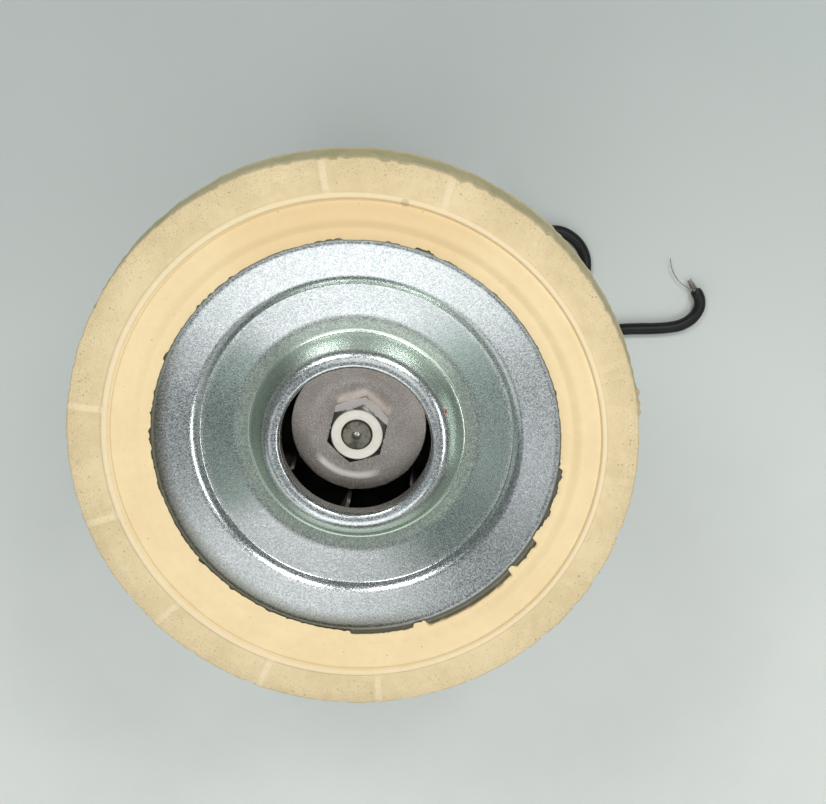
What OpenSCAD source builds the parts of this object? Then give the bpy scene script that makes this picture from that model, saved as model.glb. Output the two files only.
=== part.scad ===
// Two-stage vacuum motor unit with a rubber mounting gasket round its fan cover.
// The shaft runs along Z, the inlet looks up and the rear bracket stands on z = 0.
// All sizes are in millimetres.

/* [Fan cover] */
// Sheet thickness of the fan cover
cover_t = 0.9; // [0.7:0.1:1.1]
// Outside radius of the corner between front and wall
corner_r = 5; // [4:0.5:6]
// Diameter of the inlet throat
inlet_d = 34.4; // [33.6:0.2:35.6]
// Height of the rolled inlet lip above the front face
lip_h = 0.9; // [0.4:0.1:1.4]
// Depth of the dish next to the inlet lip
dish_h = 5; // [4.5:0.5:6.5]
// Height of the step at the outside of the dish
step_h = 1.8; // [1.2:0.2:2.4]
// Diameter at the top of the dish step
dish_d = 74.6; // [72:0.2:77]
// Slope of the face between the dish step and the corner, in degrees
face_slope = 14; // [10:1:17]

/* [Gasket] */
// Outside diameter of the gasket
gasket_d = 130.6; // [124:0.2:140]
// Height of the gasket's outside edge
gasket_h = 11.2; // [9:0.2:12]
// Lap of the gasket's lip over the edge of the cover
gasket_lap = 2.5; // [2:0.1:3.2]
// Width of the smooth inner face between the cover and the ridge
inner_face_w = 6.7; // [5:0.1:8]
// Width of the raised sealing ridge
ridge_w = 1.2; // [0.8:0.1:2]
// Height of the ridge and ribs above the outer face
relief = 0.4; // [0.2:0.1:0.8]
// Number of ribs across the outer face
rib_count = 14; // [10:1:18]
// Width of each rib
rib_w = 1.7; // [1:0.1:2.5]
// Depth of the sleeve that grips the cover wall
sleeve_h = 16; // [14:0.5:22]
// Wall thickness of the gripping sleeve
sleeve_t = 3.4; // [2.5:0.1:4.5]

/* [Fans] */
// Outside diameter of both fans
fan_d = 88; // [84:0.5:91]
// Room between the edge of the fans and the cover wall
fan_room = 4.1; // [3:0.1:5]
// Diameter of the fan eyes
fan_eye_d = 38; // [36.5:0.5:41]
// Diameter at the inner tips of the vanes
vane_tip_d = 35.6; // [34:0.2:36.4]
// Thickness of the fan discs
fan_t = 0.8; // [0.6:0.1:1]
// Thickness of the fan vanes
vane_t = 0.8; // [0.6:0.1:1.2]
// Number of vanes in each fan
vane_count = 7; // [5:1:9]
// Height of the vanes in the first fan
fan_1_vane_h = 12.4; // [10:0.2:14]
// Height of the vanes in the second fan
fan_2_vane_h = 10.9; // [9:0.1:13]
// Running gap between a fan and the plates next to it
fan_gap = 1.5; // [1:0.1:2.5]

/* [Return guide] */
// Height of the guide vanes between the two return discs
guide_vane_h = 7.2; // [6:0.2:9]
// Thickness of the return discs
guide_t = 0.8; // [0.6:0.1:1.2]
// Number of guide vanes
guide_vane_count = 9; // [7:1:11]
// Gap round the upper return disc, where the air turns back
guide_gap = 3.1; // [2:0.1:5]

/* [Shaft and clamp] */
// Diameter of the shaft in the bearings and fans
shaft_d = 8; // [7.8:0.05:8.2]
// Diameter of the shaft inside the armature
armature_shaft_d = 10; // [9.5:0.1:11]
// Nut size across its flats
nut_af = 12.7; // [12:0.1:13]
// Height of the nut
nut_h = 7; // [6:0.1:8]
// Outside diameter of the clamp washer
washer_d = 31.8; // [29:0.2:32.6]
// Thickness of the clamp washer
washer_t = 1.3; // [1:0.1:1.6]
// Depth of the dished middle of the washer
washer_dish = 0.6; // [0.3:0.1:0.8]
// Length of the hub bush above the first fan's back disc
hub_h = 6.9; // [6:0.1:9]
// Outside diameter of the hub bush and the spacers
spacer_d = 13; // [12.5:0.1:14]

/* [Bearings] */
// Outside diameter of the bearings
bearing_d = 22; // [21.6:0.1:22.4]
// Width of the bearings
bearing_w = 7; // [6.5:0.1:8]
// Diameter of the bearing balls
ball_d = 3.96; // [3.6:0.02:4]
// Number of balls in each bearing
ball_count = 7; // [6:1:8]

/* [Field and armature] */
// Height of the field stack
stack_h = 30; // [26:1:36]
// Width of the field core across the brushes
core_w = 60; // [58:0.5:62]
// Length of the field core across the poles
core_l = 74; // [72:0.5:76]
// Thickness of the yoke beside the coils
yoke_t = 6.5; // [6:0.1:6.8]
// Width of each pole
pole_w = 22; // [20:0.5:24]
// Radial thickness of each pole shoe
shoe_t = 3.5; // [3:0.1:4]
// Length of each field coil along its pole
coil_l = 7.6; // [6:0.1:8]
// Build-up of each field coil
coil_w = 7; // [6:0.1:8]
// Diameter of the field wire
wire_d = 0.9; // [0.7:0.05:0.95]
// Number of turns that show on each field coil
coil_turns = 5; // [3:1:5]
// Diameter of the armature
armature_d = 36; // [34:0.5:36.4]
// Air gap between armature and pole shoes
air_gap = 0.5; // [0.4:0.1:0.8]
// Number of armature slots
slot_count = 12; // [9:1:13]
// Overhang of the armature end turns
winding_h = 9; // [7:0.5:11]

/* [Commutator and brushes] */
// Diameter of the commutator
comm_d = 24; // [22:0.5:25]
// Length of the commutator
comm_h = 15; // [13:0.5:18]
// Number of commutator bars
bar_count = 22; // [16:1:24]
// Width of each brush round the commutator
brush_w = 6.4; // [5.5:0.1:7]
// Height of each brush along the shaft
brush_h = 9; // [8:0.1:10]
// Length of each brush
brush_l = 18; // [16:0.5:20]
// Outward travel of each brush
brush_travel = 5; // [3:0.5:6]
// Diameter of the brush spring wire
spring_wire_d = 0.6; // [0.4:0.05:0.7]
// Number of curls in each brush spring
spring_curls = 5; // [3:1:6]

/* [Brackets and bolts] */
// Thickness of the rear plate
base_t = 4; // [3.6:0.1:5]
// Thickness of the fan bracket plate
plate_t = 3; // [2.5:0.1:4]
// Outside diameter of the bracket posts
post_d = 9; // [8.5:0.1:9.5]
// Diameter of the through bolts
bolt_d = 4; // [3.5:0.1:4]
// Outside diameter of the bearing hubs
hub_d = 30; // [28:0.5:31]

/* [Leads] */
// Outside diameter of the two leads
lead_d = 3.6; // [3:0.1:4]
// Diameter of the bared conductor
conductor_d = 2; // [1.5:0.1:2.4]
// Length of the bared conductor
conductor_l = 4; // [3:0.5:8]
// Diameter of the jumper wires between coils and brushes
jumper_d = 1.8; // [1.4:0.1:2.2]

/* [Fits] */
// Clearance of a sliding or slip fit on each side
slip = 0.1; // [0.05:0.01:0.14]
// Clearance of a tight fit on each side
tight = 0.02; // [0.01:0.005:0.04]

/* [Hidden] */
$fn = 96;
arc_steps = 6;

// Heights from the base up to the gasket face
rear_floor = 3.5;
rear_bearing_z = rear_floor;
rear_bearing_top = rear_bearing_z + bearing_w;
comm_z = rear_bearing_top + 4.5;
comm_top = comm_z + comm_h;
core_z = comm_top + winding_h + 1;
core_top = core_z + stack_h;
core_mid = core_z + stack_h / 2;
front_bearing_z = core_top + winding_h + 4;
front_bearing_top = front_bearing_z + bearing_w;
bracket_top = front_bearing_top + 3;
bracket_low = bracket_top - plate_t;
fan_2_back_z = bracket_top + fan_gap + 1;
fan_2_vane_z = fan_2_back_z + fan_t;
fan_2_front_z = fan_2_vane_z + fan_2_vane_h;
guide_low_z = fan_2_front_z + fan_t + fan_gap;
guide_vane_z = guide_low_z + guide_t;
guide_high_z = guide_vane_z + guide_vane_h;
fan_1_back_z = guide_high_z + guide_t + fan_gap;
fan_1_vane_z = fan_1_back_z + fan_t;
fan_1_front_z = fan_1_vane_z + fan_1_vane_h;
front_z = fan_1_front_z + fan_t + fan_gap + cover_t + dish_h;
washer_z = fan_1_vane_z + hub_h;
nut_z = washer_z + washer_t;
shaft_top = nut_z + nut_h + 0.5;
shaft_low = 2.5;

// Fan cover
cover_r = fan_d / 2 + fan_room + cover_t;
cover_in_r = cover_r - cover_t;
half_t = cover_t / 2;
throat_r = inlet_d / 2;
throat_h = 3.4;
corner_reach = (corner_r - half_t) / tan((90 - face_slope) / 2);
corner_z = front_z - corner_r + corner_reach;
step_z = corner_z - (cover_r - half_t - dish_d / 2) * tan(face_slope);
cover_path = [
    [throat_r + half_t, front_z - throat_h],
    [throat_r + half_t, front_z + lip_h - half_t],
    [throat_r + half_t + 3.2, front_z + lip_h - half_t],
    [throat_r + half_t + 6.6, front_z - dish_h - half_t],
    [dish_d / 2 - 1.2, step_z - step_h],
    [dish_d / 2, step_z],
    [cover_r - half_t, corner_z],
    [cover_r - half_t, bracket_low]
];
cover_bends = [1.4, 2.2, 5.5, 0.9, 0.9, corner_r - half_t];

// Gasket
gasket_r = gasket_d / 2;
face_rise = 2.6;
inner_drop = 1.25;
lip_t = 0.75;
face_z = front_z + face_rise;
inner_face_z = face_z - inner_drop;
lip_top_z = front_z + lip_t;
lip_r = cover_r - gasket_lap;
ridge_r = cover_r + inner_face_w;
grip_r = cover_r + slip;
gasket_low_z = face_z - gasket_h;
sleeve_low_z = front_z - sleeve_h;
edge_fall = 2.4;
edge_run = 1.8;
lip_angle = acos((lip_r - cover_r + corner_r) / (corner_r + slip));

// Fans, guide and outlet
outlet_web = 15;
outlet_rim = 4;
vane_out_r = fan_d / 2 - 0.5;
vane_lead_in = 4;
vane_arc_r = fan_d / 4;
vane_arc_x = vane_arc_r + vane_lead_in;
guide_eye_r = fan_eye_d / 2;
guide_upper_r = cover_in_r - guide_gap;
guide_vane_out_r = guide_upper_r - 0.5;
spacer_r = spacer_d / 2;
shaft_r = shaft_d / 2;

// Bearings
ball_path_r = (bearing_d + shaft_d) / 4;
groove_r = ball_d / 2 + 0.06;
race_half = 1.25;

// Field
bore_r = armature_d / 2 + air_gap;
shoe_r = bore_r + shoe_t;
cavity_x = core_w / 2 - yoke_t - 0.5;
bolt_x = core_w / 2 - 4.4;
bolt_y = core_l / 2 - 4;
base_margin = 5.5;
liner_t = 0.4;
liner_x = pole_w / 2 + slip;
coil_in_x = liner_x + liner_t + slip;
coil_in_z = stack_h / 2 + 0.6;
coil_y0 = shoe_r + 0.4;
coil_y1 = coil_y0 + coil_l;
cavity_y = coil_y1 + 0.5;
coil_out_x = coil_in_x + coil_w;
coil_out_z = coil_in_z + coil_w;
turn_pitch = (coil_y1 - coil_y0 - wire_d) / coil_turns;
turn_x = coil_out_x - wire_d / 2;
turn_z = coil_out_z - wire_d / 2;
turn_corner = 4;

// Brushes
comm_r = comm_d / 2;
brush_z = comm_z + comm_h / 2 - 0.5;
brush_x0 = comm_r + slip;
brush_x1 = brush_x0 + brush_l;
spring_l = brush_travel + spring_wire_d * (spring_curls + 1.5);
tube_t = 0.9;
tube_y = brush_w / 2 + slip + tube_t;
tube_z = brush_h / 2 + slip + tube_t;
tube_x0 = brush_x0 + 2;
tube_x1 = brush_x1 + spring_l;
holder_x0 = tube_x0 + 1;
holder_x1 = tube_x1 - 3;
holder_wall = 2.3;
holder_bed = 2.5;
holder_roof = 2;
holder_y = tube_y + holder_wall;
holder_low = brush_z - tube_z - holder_bed;
holder_top = brush_z + tube_z + holder_roof;
foot_gap = 5;
foot_x0 = hub_d / 2 + foot_gap;
foot_x1 = bolt_x + base_margin;
foot_w = 7.5;
foot_y = holder_y + foot_w;
foot_t = 3.5;
screw_x = (foot_x0 + foot_x1) / 2;
screw_y = holder_y + foot_w / 2 + 0.25;
screw_d = 3;
screw_l = 9;
screw_head_d = 5.5;
screw_head_h = 2;
cap_t = 1.2;
tab_l = 6;
spring_r = min(brush_w, brush_h) / 2 - spring_wire_d / 2 - 0.2;

// Bolts
head_af = 7;
head_h = 2.8;
head_seat_z = 3.2;
head_clear_d = 8.6;
thread_l = 12;

// Leads and jumpers
sleeve_d = 5.8;
sleeve_l = 6;
sleeve_gap = 1.1;
lead_y = bolt_y - post_d / 2 - sleeve_gap - sleeve_d / 2;
lead_z = core_z - 4;
lead_x = coil_out_x + slip;
solder_reach = 3.4;
tab_end_x = tube_x1 + cap_t + solder_reach;
jumper_gap = 0.3;

// Lead routes, from the coil out to the bared end on the bench
lead_a_route = [
    [lead_x, -lead_y, lead_z], [24, -lead_y, lead_z], [29.6, -24.4, 34.8], [34.4, -24, 30.8],
    [38.2, -23.2, 24.6], [41.4, -21.8, 17.2], [45.4, -19.6, 10.2], [50.4, -16.6, 5],
    [56.4, -13.2, 2.4], [62.4, -10.6, 2], [68, -8.9, 2], [72.8, -8, 2], [77, -7.6, 2],
    [80.8, -7.5, 2], [84.8, -7.4, 2], [89.4, -7, 2], [93.3, -6.1, 2], [96.5, -4, 2],
    [98.4, -0.9, 2], [98.4, 2.3, 2], [97, 4.9, 2]
];
lead_b_route = [
    [lead_x, lead_y, lead_z], [24, lead_y, lead_z], [29.6, 24.5, 34.8], [34.2, 24.4, 30.8],
    [37.4, 24.2, 24.8], [39.4, 24, 18.4], [41.4, 23.8, 12.2], [45, 23.6, 6.6], [49.8, 23.5, 3.2],
    [54.4, 23.2, 2.1], [58.1, 21.4, 2], [61, 18.3, 2], [62.5, 14.3, 2], [62.4, 10, 2],
    [60.5, 6.2, 2], [57.2, 3.5, 2], [53.1, 2.4, 2], [49, 3.3, 2], [45.4, 5.8, 2],
    [42.8, 9.5, 2], [41.1, 13.6, 2]
];
jumper_route = [
    [10, -25, core_mid - coil_out_z - jumper_gap], [11.5, -25, 30], [17, -24, 28], [25, -21, 27.5],
    [33, -16, 27.5], [39, -9.6, 26.6], [tab_end_x - 1, -3.6, 24.6],
    [tab_end_x, -0.6, brush_z + 0.5 + jumper_d / 2]
];

// Plane and sweep helpers

function unit(v) = v / norm(v);
function left_of(v) = [-v.y, v.x];
function reversed(list) = [for (i = [len(list) - 1 : -1 : 0]) list[i]];

// Points of one rounded bend of a path, moved sideways by d
function bend(a, b, c, r, d) =
    let (
        u = unit(b - a),
        w = unit(c - b),
        s = sign(cross(u, w)),
        half = acos(u * w) / 2,
        centre = b - u * r * tan(half) + left_of(u) * s * r,
        start = atan2(-s * left_of(u).y, -s * left_of(u).x)
    )
    [for (i = [0 : arc_steps])
        let (q = start + s * 2 * half * i / arc_steps)
        centre + (r - s * d) * [cos(q), sin(q)]];

function side_line(path, radii, d) =
    let (n = len(path))
    concat(
        [path[0] + d * left_of(unit(path[1] - path[0]))],
        [for (i = [1 : n - 2]) each bend(path[i - 1], path[i], path[i + 1], radii[i - 1], d)],
        [path[n - 1] + d * left_of(unit(path[n - 1] - path[n - 2]))]
    );

function sheet_outline(path, radii, t) =
    concat(side_line(path, radii, t / 2), reversed(side_line(path, radii, -t / 2)));

// Smooth curve through a list of points, with a number of steps in each span
function spline_point(a, b, c, d, t) =
    0.5 * (2 * b + (c - a) * t + (2 * a - 5 * b + 4 * c - d) * t * t
        + (3 * b - a - 3 * c + d) * t * t * t);
function spline(p, steps) =
    let (n = len(p))
    concat(
        [for (i = [0 : n - 2]) for (j = [0 : steps - 1])
            spline_point(p[max(i - 1, 0)], p[i], p[i + 1], p[min(i + 2, n - 1)], j / steps)],
        [p[n - 1]]
    );

function tangents(p) =
    let (n = len(p))
    [for (i = [0 : n - 1]) unit(p[min(i + 1, n - 1)] - p[max(i - 1, 0)])];
function carried(v, t) = unit(v - (v * t) * t);
function normals(t, v, i = 0) =
    i == len(t) ? [] : let (w = carried(v, t[i])) concat([w], normals(t, w, i + 1));

// Round tube swept along a list of points
module swept_tube(points, d, sides, start) {
    t = tangents(points);
    v = normals(t, start);
    n = len(points);
    rings = [for (i = [0 : n - 1]) for (k = [0 : sides - 1])
        let (q = 360 * k / sides)
        points[i] + d / 2 * (cos(q) * v[i] + sin(q) * cross(t[i], v[i]))];
    walls = [for (i = [0 : n - 2]) for (k = [0 : sides - 1])
        let (
            a = i * sides + k,
            b = i * sides + (k + 1) % sides
        )
        each [[a, a + sides, b], [b, a + sides, b + sides]]];
    first = [for (k = [0 : sides - 1]) k];
    last = [for (k = [sides - 1 : -1 : 0]) (n - 1) * sides + k];
    polyhedron(points = rings, faces = concat(walls, [first], [last]));
}

module rounded_rect(w, l, r) {
    square([w - 2 * r, l], center = true);
    square([w, l - 2 * r], center = true);
    for (x = [-1, 1]) {
        for (y = [-1, 1]) {
            translate([x * (w / 2 - r), y * (l / 2 - r)]) circle(r);
        }
    }
}

module ring(r_out, r_in, z, h) {
    difference() {
        translate([0, 0, z]) cylinder(h = h, r = r_out);
        translate([0, 0, z - 1]) cylinder(h = h + 2, r = r_in);
    }
}

// A block between two corners
module block(low, high) {
    translate(low) cube(high - low);
}

module at_bolts() {
    for (x = [-1, 1]) {
        for (y = [-1, 1]) {
            translate([x * bolt_x, y * bolt_y, 0]) children();
        }
    }
}

// Front end: gasket, cover and return guide

module front_gasket() {
    centre = [cover_r - corner_r, front_z - corner_r];
    outline = concat(
        [for (i = [0 : arc_steps])
            let (q = lip_angle * (1 - i / arc_steps))
            centre + (corner_r + slip) * [cos(q), sin(q)]],
        [
            [grip_r, sleeve_low_z],
            [grip_r + sleeve_t, sleeve_low_z],
            [grip_r + sleeve_t + 1.6, gasket_low_z],
            [gasket_r, gasket_low_z],
            [gasket_r, face_z - relief - edge_fall],
            [gasket_r - 0.2 * edge_run, face_z - relief - 0.4 * edge_fall],
            [gasket_r - 0.5 * edge_run, face_z - relief - 0.1 * edge_fall],
            [gasket_r - edge_run, face_z - relief],
            [ridge_r + ridge_w / 2 + 0.4, face_z - relief],
            [ridge_r + ridge_w / 2, face_z],
            [ridge_r - ridge_w / 2, face_z],
            [ridge_r - ridge_w / 2 - 0.6, inner_face_z],
            [grip_r + 0.2, inner_face_z],
            [grip_r - 0.2, lip_top_z],
            [lip_r, lip_top_z]
        ]
    );
    color([0.93, 0.84, 0.66]) {
        rotate_extrude() polygon(outline);
        for (i = [0 : rib_count - 1]) {
            rotate([0, 0, 18 + 360 * i / rib_count])
                block([ridge_r, -rib_w / 2, face_z - relief - 1], [gasket_r - edge_run, rib_w / 2, face_z]);
        }
    }
}

module fan_cover() {
    color([0.68, 0.71, 0.72])
        rotate_extrude() polygon(sheet_outline(cover_path, cover_bends, cover_t));
}

module curved_vane(r_in, r_out, t, z, h) {
    intersection() {
        translate([vane_arc_x, 0, 0]) ring(vane_arc_r + t / 2, vane_arc_r - t / 2, z, h);
        ring(r_out, r_in, z, h);
        block([0, 0, z], [vane_arc_x + vane_arc_r + 1, vane_arc_r + 1, z + h]);
    }
}

module return_upper_disc() {
    color([0.6, 0.62, 0.63]) ring(guide_upper_r, spacer_r + 2, guide_high_z, guide_t);
}

module return_vanes() {
    color([0.6, 0.62, 0.63])
        for (i = [0 : guide_vane_count - 1]) {
            rotate([0, 0, 360 * i / guide_vane_count])
                mirror([0, 1, 0])
                    curved_vane(guide_eye_r + 1, guide_vane_out_r, guide_t, guide_vane_z, guide_vane_h);
        }
}

module return_lower_disc() {
    color([0.6, 0.62, 0.63]) ring(cover_in_r - slip, guide_eye_r, guide_low_z, guide_t);
}

// Fan bracket with its posts, bearing hub and four outlet windows

module outlet_window(half_angle) {
    r_in = hub_d / 2 + outlet_web;
    r_out = cover_in_r - outlet_rim;
    z = bracket_low - 1;
    intersection() {
        ring(r_out, r_in, z, plate_t + 2);
        translate([0, 0, z])
            linear_extrude(height = plate_t + 2)
                polygon([[0, 0], 2 * r_out * [cos(half_angle), -sin(half_angle)],
                    2 * r_out * [cos(half_angle), sin(half_angle)]]);
    }
}

module fan_bracket() {
    hub_low = front_bearing_z - 2.5;
    color([0.72, 0.73, 0.73])
        difference() {
            union() {
                translate([0, 0, bracket_low]) cylinder(h = plate_t, r = cover_in_r - slip);
                translate([0, 0, hub_low]) cylinder(h = bracket_top - hub_low, d = hub_d);
                at_bolts() translate([0, 0, core_top]) cylinder(h = bracket_low - core_top, d = post_d);
            }
            translate([0, 0, hub_low - 1])
                cylinder(h = front_bearing_top - hub_low + 1, d = bearing_d + 2 * tight);
            translate([0, 0, hub_low - 1]) cylinder(h = bracket_top - hub_low + 2, r = spacer_r + 0.5);
            translate([0, 0, front_bearing_z - 1.4]) cylinder(h = 1.3, d = bearing_d + 1.4);
            at_bolts() translate([0, 0, core_top - 1]) cylinder(h = thread_l + 2, d = bolt_d + 2 * slip);
            for (a = [0, 180]) {
                rotate([0, 0, a]) outlet_window(30);
            }
            for (a = [90, 270]) {
                rotate([0, 0, a]) outlet_window(20);
            }
        }
}

// Ball bearings

module bearing_race(r_out, r_in, z) {
    difference() {
        ring(r_out, r_in, z, bearing_w);
        translate([0, 0, z + bearing_w / 2]) rotate_extrude() translate([ball_path_r, 0]) circle(groove_r);
    }
}

module bearing_outer(z) {
    color([0.75, 0.76, 0.78]) bearing_race(bearing_d / 2, ball_path_r + race_half, z);
}

module bearing_inner(z) {
    color([0.78, 0.79, 0.8]) bearing_race(ball_path_r - race_half, shaft_r + tight, z);
}

module bearing_balls(z) {
    color([0.85, 0.86, 0.88])
        for (i = [0 : ball_count - 1]) {
            rotate([0, 0, 360 * i / ball_count])
                translate([ball_path_r, 0, z + bearing_w / 2]) sphere(d = ball_d);
        }
}

module bearing_cage(z) {
    color([0.7, 0.62, 0.4])
        difference() {
            ring(ball_path_r + 0.45, ball_path_r - 0.45, z + bearing_w / 2 - ball_d * 0.65, ball_d * 1.3);
            for (i = [0 : ball_count - 1]) {
                rotate([0, 0, 360 * i / ball_count])
                    translate([ball_path_r, 0, z + bearing_w / 2]) sphere(d = ball_d + 0.12);
            }
        }
}

module front_bearing_outer() {
    bearing_outer(front_bearing_z);
}

module front_bearing_inner() {
    bearing_inner(front_bearing_z);
}

module front_bearing_balls() {
    bearing_balls(front_bearing_z);
}

module front_bearing_cage() {
    bearing_cage(front_bearing_z);
}

module rear_bearing_outer() {
    bearing_outer(rear_bearing_z);
}

module rear_bearing_inner() {
    bearing_inner(rear_bearing_z);
}

module rear_bearing_balls() {
    bearing_balls(rear_bearing_z);
}

module rear_bearing_cage() {
    bearing_cage(rear_bearing_z);
}

module front_circlip() {
    color([0.35, 0.36, 0.38])
        difference() {
            ring(bearing_d / 2 + 0.6, bearing_d / 2 - 1.3, front_bearing_z - 1.3, 1.1);
            block([0, -2.5, front_bearing_z - 3], [bearing_d, 2.5, front_bearing_z]);
        }
}

// Field

module field_core() {
    color([0.42, 0.43, 0.45])
        difference() {
            translate([0, 0, core_z])
                linear_extrude(height = stack_h)
                    difference() {
                        union() {
                            difference() {
                                rounded_rect(core_w, core_l, 6);
                                rounded_rect(2 * cavity_x, 2 * cavity_y, 3);
                            }
                            square([pole_w, core_l - 2], center = true);
                            intersection() {
                                circle(shoe_r);
                                for (a = [90, 270]) {
                                    rotate(a)
                                        polygon([[0, 0], 2 * shoe_r * [cos(58), -sin(58)],
                                            2 * shoe_r * [cos(58), sin(58)]]);
                                }
                            }
                        }
                        circle(bore_r);
                    }
            at_bolts() translate([0, 0, core_z - 1]) cylinder(h = stack_h + 2, d = bolt_d + 2 * slip + 0.1);
        }
}

// A flat frame that stands on the pole: half sizes in X and Z, wall, and a span in Y
module pole_frame(x_in, z_in, wall, y0, y1, r) {
    translate([0, y1, core_mid])
        rotate([90, 0, 0])
            linear_extrude(height = y1 - y0)
                difference() {
                    rounded_rect(2 * (x_in + wall), 2 * (z_in + wall), r);
                    square([2 * x_in, 2 * z_in], center = true);
                }
}

module slot_liners() {
    color([0.82, 0.78, 0.62])
        for (a = [0, 180]) {
            rotate([0, 0, a])
                pole_frame(liner_x, stack_h / 2 + slip, liner_t, coil_y0, coil_y1, 0.3);
        }
}

// Centre points of the outer turns, running round the coil and along the pole
turn_corners = [[1, 1], [-1, 1], [-1, -1], [1, -1]];
turn_points = [for (n = [0 : coil_turns - 1]) for (k = [0 : 3]) for (j = [0 : 3])
    let (
        q = 90 * k + 30 * j,
        f = n + (4 * k + j) / 16,
        c = turn_corners[k]
    )
    [
        c.x * (turn_x - turn_corner) + turn_corner * cos(q),
        coil_y0 + wire_d / 2 + f * turn_pitch,
        core_mid + c.y * (turn_z - turn_corner) + turn_corner * sin(q)
    ]];
turn_gap = min([for (i = [0 : len(turn_points) - 1]) for (j = [i + 8 : 1 : len(turn_points) - 1])
    norm(turn_points[i] - turn_points[j])]) - wire_d;
echo(least_gap_of_field_turns = turn_gap);

module field_coil() {
    color([0.62, 0.33, 0.16]) {
        pole_frame(coil_in_x, coil_in_z, coil_w - wire_d - slip, coil_y0, coil_y1, turn_corner + 0.2);
        swept_tube(turn_points, wire_d, 6, [0, 1, 0]);
    }
}

module field_coil_far() {
    field_coil();
}

module field_coil_near() {
    rotate([0, 0, 180]) field_coil();
}

// Rear bracket with posts, bearing hub and brush pads

module rear_bracket() {
    hub_top = rear_bearing_top + 2;
    color([0.7, 0.71, 0.71])
        difference() {
            union() {
                linear_extrude(height = base_t)
                    rounded_rect(2 * (bolt_x + base_margin), 2 * (bolt_y + base_margin), base_margin);
                cylinder(h = hub_top, d = hub_d);
                at_bolts() cylinder(h = core_z, d = post_d);
                for (a = [0, 180]) {
                    rotate([0, 0, a]) block([foot_x0, -foot_y, 1], [foot_x1, foot_y, holder_low]);
                }
            }
            translate([0, 0, rear_bearing_z]) cylinder(h = hub_top, d = bearing_d + 2 * tight);
            translate([0, 0, shaft_low - 0.8]) cylinder(h = hub_top, r = ball_path_r + 0.5);
            at_bolts() {
                translate([0, 0, -1]) cylinder(h = core_z + 2, d = bolt_d + 2 * slip + 0.1);
                translate([0, 0, -1]) cylinder(h = head_seat_z + 1, d = head_clear_d);
            }
            for (x = [-1, 1]) {
                for (y = [-1, 1]) {
                    translate([x * screw_x, y * screw_y, holder_low + foot_t - screw_l - 1.5])
                        cylinder(h = screw_l, d = screw_d + 2 * slip);
                }
            }
        }
}

// Brush gear, made for the right-hand side and turned for the left

module brush_holder() {
    color([0.16, 0.13, 0.11])
        difference() {
            union() {
                block([holder_x0, -holder_y, holder_low], [holder_x1, holder_y, holder_top]);
                block([foot_x0, -foot_y, holder_low], [foot_x1, foot_y, holder_low + foot_t]);
            }
            block([holder_x0 - 1, -tube_y - slip, brush_z - tube_z - slip],
                [holder_x1 + 1, tube_y + slip, brush_z + tube_z + slip]);
            for (y = [-1, 1]) {
                translate([screw_x, y * screw_y, holder_low - 1])
                    cylinder(h = foot_t + 2, d = screw_d + 2 * slip);
            }
        }
}

module brush_tube() {
    color([0.78, 0.62, 0.28])
        difference() {
            block([tube_x0, -tube_y, brush_z - tube_z], [tube_x1, tube_y, brush_z + tube_z]);
            block([tube_x0 - 1, -tube_y + tube_t, brush_z - tube_z + tube_t],
                [tube_x1 + 1, tube_y - tube_t, brush_z + tube_z - tube_t]);
        }
}

module brush_cap() {
    color([0.8, 0.65, 0.3]) {
        block([tube_x1, -tube_y - 0.4, brush_z - tube_z - 0.4],
            [tube_x1 + cap_t, tube_y + 0.4, brush_z + tube_z + 0.4]);
        block([tube_x1, -2.4, brush_z - 0.4], [tube_x1 + cap_t + tab_l, 2.4, brush_z + 0.4]);
    }
}

spring_free = spring_l - spring_wire_d - 0.1;
spring_points = [for (i = [0 : 8 * spring_curls])
    [
        brush_x1 + spring_wire_d / 2 + 0.05 + spring_free * i / (8 * spring_curls),
        spring_r * cos(45 * i),
        brush_z + spring_r * sin(45 * i)
    ]];
spring_gap = min([for (i = [0 : len(spring_points) - 1]) for (j = [i + 5 : 1 : len(spring_points) - 1])
    norm(spring_points[i] - spring_points[j])]) - spring_wire_d;
echo(least_gap_of_spring_curls = spring_gap);

module brush_spring() {
    color([0.75, 0.76, 0.78]) swept_tube(spring_points, spring_wire_d, 6, [1, 0, 0]);
}

module brush() {
    color([0.2, 0.2, 0.21])
        block([brush_x0, -brush_w / 2, brush_z - brush_h / 2],
            [brush_x1, brush_w / 2, brush_z + brush_h / 2]);
}

module brush_holder_right() {
    brush_holder();
}

module brush_holder_left() {
    rotate([0, 0, 180]) brush_holder();
}

module brush_tube_right() {
    brush_tube();
}

module brush_tube_left() {
    rotate([0, 0, 180]) brush_tube();
}

module brush_cap_right() {
    brush_cap();
}

module brush_cap_left() {
    rotate([0, 0, 180]) brush_cap();
}

module brush_spring_right() {
    brush_spring();
}

module brush_spring_left() {
    rotate([0, 0, 180]) brush_spring();
}

module brush_right() {
    brush();
}

module brush_left() {
    rotate([0, 0, 180]) brush();
}

module holder_screws() {
    seat = holder_low + foot_t;
    color([0.8, 0.81, 0.82])
        for (x = [-1, 1]) {
            for (y = [-1, 1]) {
                translate([x * screw_x, y * screw_y, 0])
                    difference() {
                        union() {
                            translate([0, 0, seat - screw_l])
                                cylinder(h = screw_l + screw_head_h / 2, d = screw_d);
                            translate([0, 0, seat]) cylinder(h = screw_head_h, d = screw_head_d);
                        }
                        block([-screw_head_d, -0.5, seat + screw_head_h / 2],
                            [screw_head_d, 0.5, seat + 2 * screw_head_h]);
                    }
            }
        }
}

module through_bolts() {
    color([0.66, 0.67, 0.68])
        at_bolts() {
            translate([0, 0, head_seat_z - head_h]) cylinder(h = head_h, d = head_af / cos(30), $fn = 6);
            translate([0, 0, head_seat_z - 1]) cylinder(h = core_top + thread_l - head_seat_z, d = bolt_d);
        }
}

// Leads and jumpers

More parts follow.
